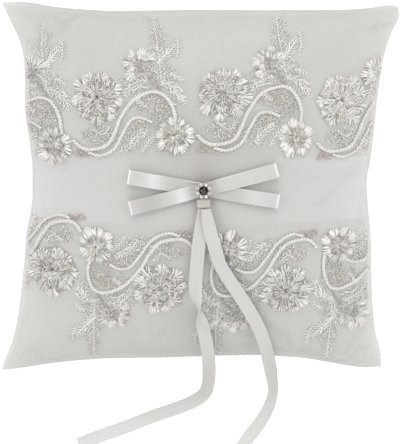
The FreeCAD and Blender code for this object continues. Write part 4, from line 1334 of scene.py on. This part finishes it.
cup_faces += [list(range(128))[::-1], [(rows - 1) * 128 + k for k in range(128)]]
cup = add_piece("scalloped_cup", cup_points, cup_faces)
metal = Cloth("bright_metal", Metallic=1.0, Specular_IOR_Level=0.6)
metal.feed("Base Color", metal.noise(900.0, 3.0).mix((0.34, 0.29, 0.22, 1), (0.80, 0.74, 0.64, 1)))
metal.feed("Roughness", metal.noise(1800.0, 2.0) * 0.22 + 0.12)
metal.bump(metal.noise(2500.0, 3.0), 0.15, 0.00008)
finish_piece(cup, metal.material, "pillow", ["rosette_setting"])

stone = Cloth("cut_crystal", Roughness=0.06, Specular_IOR_Level=0.3, Coat_Weight=0.1, Coat_Roughness=0.03)
facet = stone.attribute("tone")
# Painted reflection: each facet's tone paints it dark or bright.
stone.feed("Base Color", (facet * facet * 1.1).mix((0.008, 0.008, 0.009, 1), (1.0, 0.985, 0.95, 1)))
stone.feed("Metallic", facet * -0.45 + 0.5)


def cut_stone(centres, radius, height, rings, sides, tones):
    """Faceted stones: rings of sides points, each turned half a facet from the one before."""
    angle = (np.arange(sides)[None] + 0.5 * np.arange(len(rings))[:, None]) * 2 * math.pi / sides
    shares = np.array(rings)
    ring = np.stack([shares[:, 0:1] * radius * np.cos(angle), shares[:, 0:1] * radius * np.sin(angle),
                     np.broadcast_to(shares[:, 1:2] * height, angle.shape)], axis=-1).reshape(-1, 3)
    k = np.arange(sides)
    faces = []
    for level in range(len(rings) - 1):
        low, high = level * sides, (level + 1) * sides
        faces += np.stack([low + k, low + (k + 1) % sides, high + k], axis=1).tolist()
        faces += np.stack([low + (k + 1) % sides, high + (k + 1) % sides, high + k], axis=1).tolist()
    faces += [k[::-1].tolist(), ((len(rings) - 1) * sides + k).tolist()]
    points, all_faces = [], []
    for number, centre in enumerate(centres):
        points.append(ring + centre)
        all_faces += [[index + number * len(ring) for index in face] for face in faces]
    shade = dice.uniform(tones[0], tones[1], len(all_faces)) ** 1.5
    return np.concatenate(points), all_faces, shade


def stone_piece(name, made, replaced):
    points, faces, shade = made
    piece = add_piece(name, points, faces, smooth=False)
    paint(piece, "tone", shade, "FACE")
    return finish_piece(piece, stone.material, "pillow", replaced)


stone_low, stone_high = [np.array(corner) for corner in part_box("centre_crystal")]
stone_foot = np.array([*((stone_low + stone_high) / 2)[:2], stone_low[2]])
brilliant = ((0.40, 0.0), (0.98, 0.45), (1.0, 0.55), (0.80, 0.80), (0.52, 1.0))
stone_piece("centre_stone", cut_stone([stone_foot], (stone_high[0] - stone_low[0]) * 0.42,
            stone_high[2] - stone_low[2], brilliant, 10, (0.0, 0.62)), ["centre_crystal"])
bead_low, bead_high = [np.array(corner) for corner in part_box("ring_beads")]
BEAD_R = float(bead_high[2] - bead_low[2]) / 2 * 1.42
bead_turn = (np.arange(8) + 0.5) * 2 * math.pi / 8
arm = CUP_R - 1.05 * MM
bead_feet = np.stack([cup_middle[0] + arm * np.cos(bead_turn), cup_middle[1] + arm * np.sin(bead_turn),
                      np.full(8, bead_low[2])], axis=-1)
round_cut = ((0.35, 0.05), (0.85, 0.32), (1.0, 0.58), (0.80, 0.84), (0.42, 1.0))
stone_piece("ring_stones", cut_stone(bead_feet, BEAD_R, 2 * BEAD_R, round_cut, 8, (0.72, 1.0)),
            ["ring_beads"])
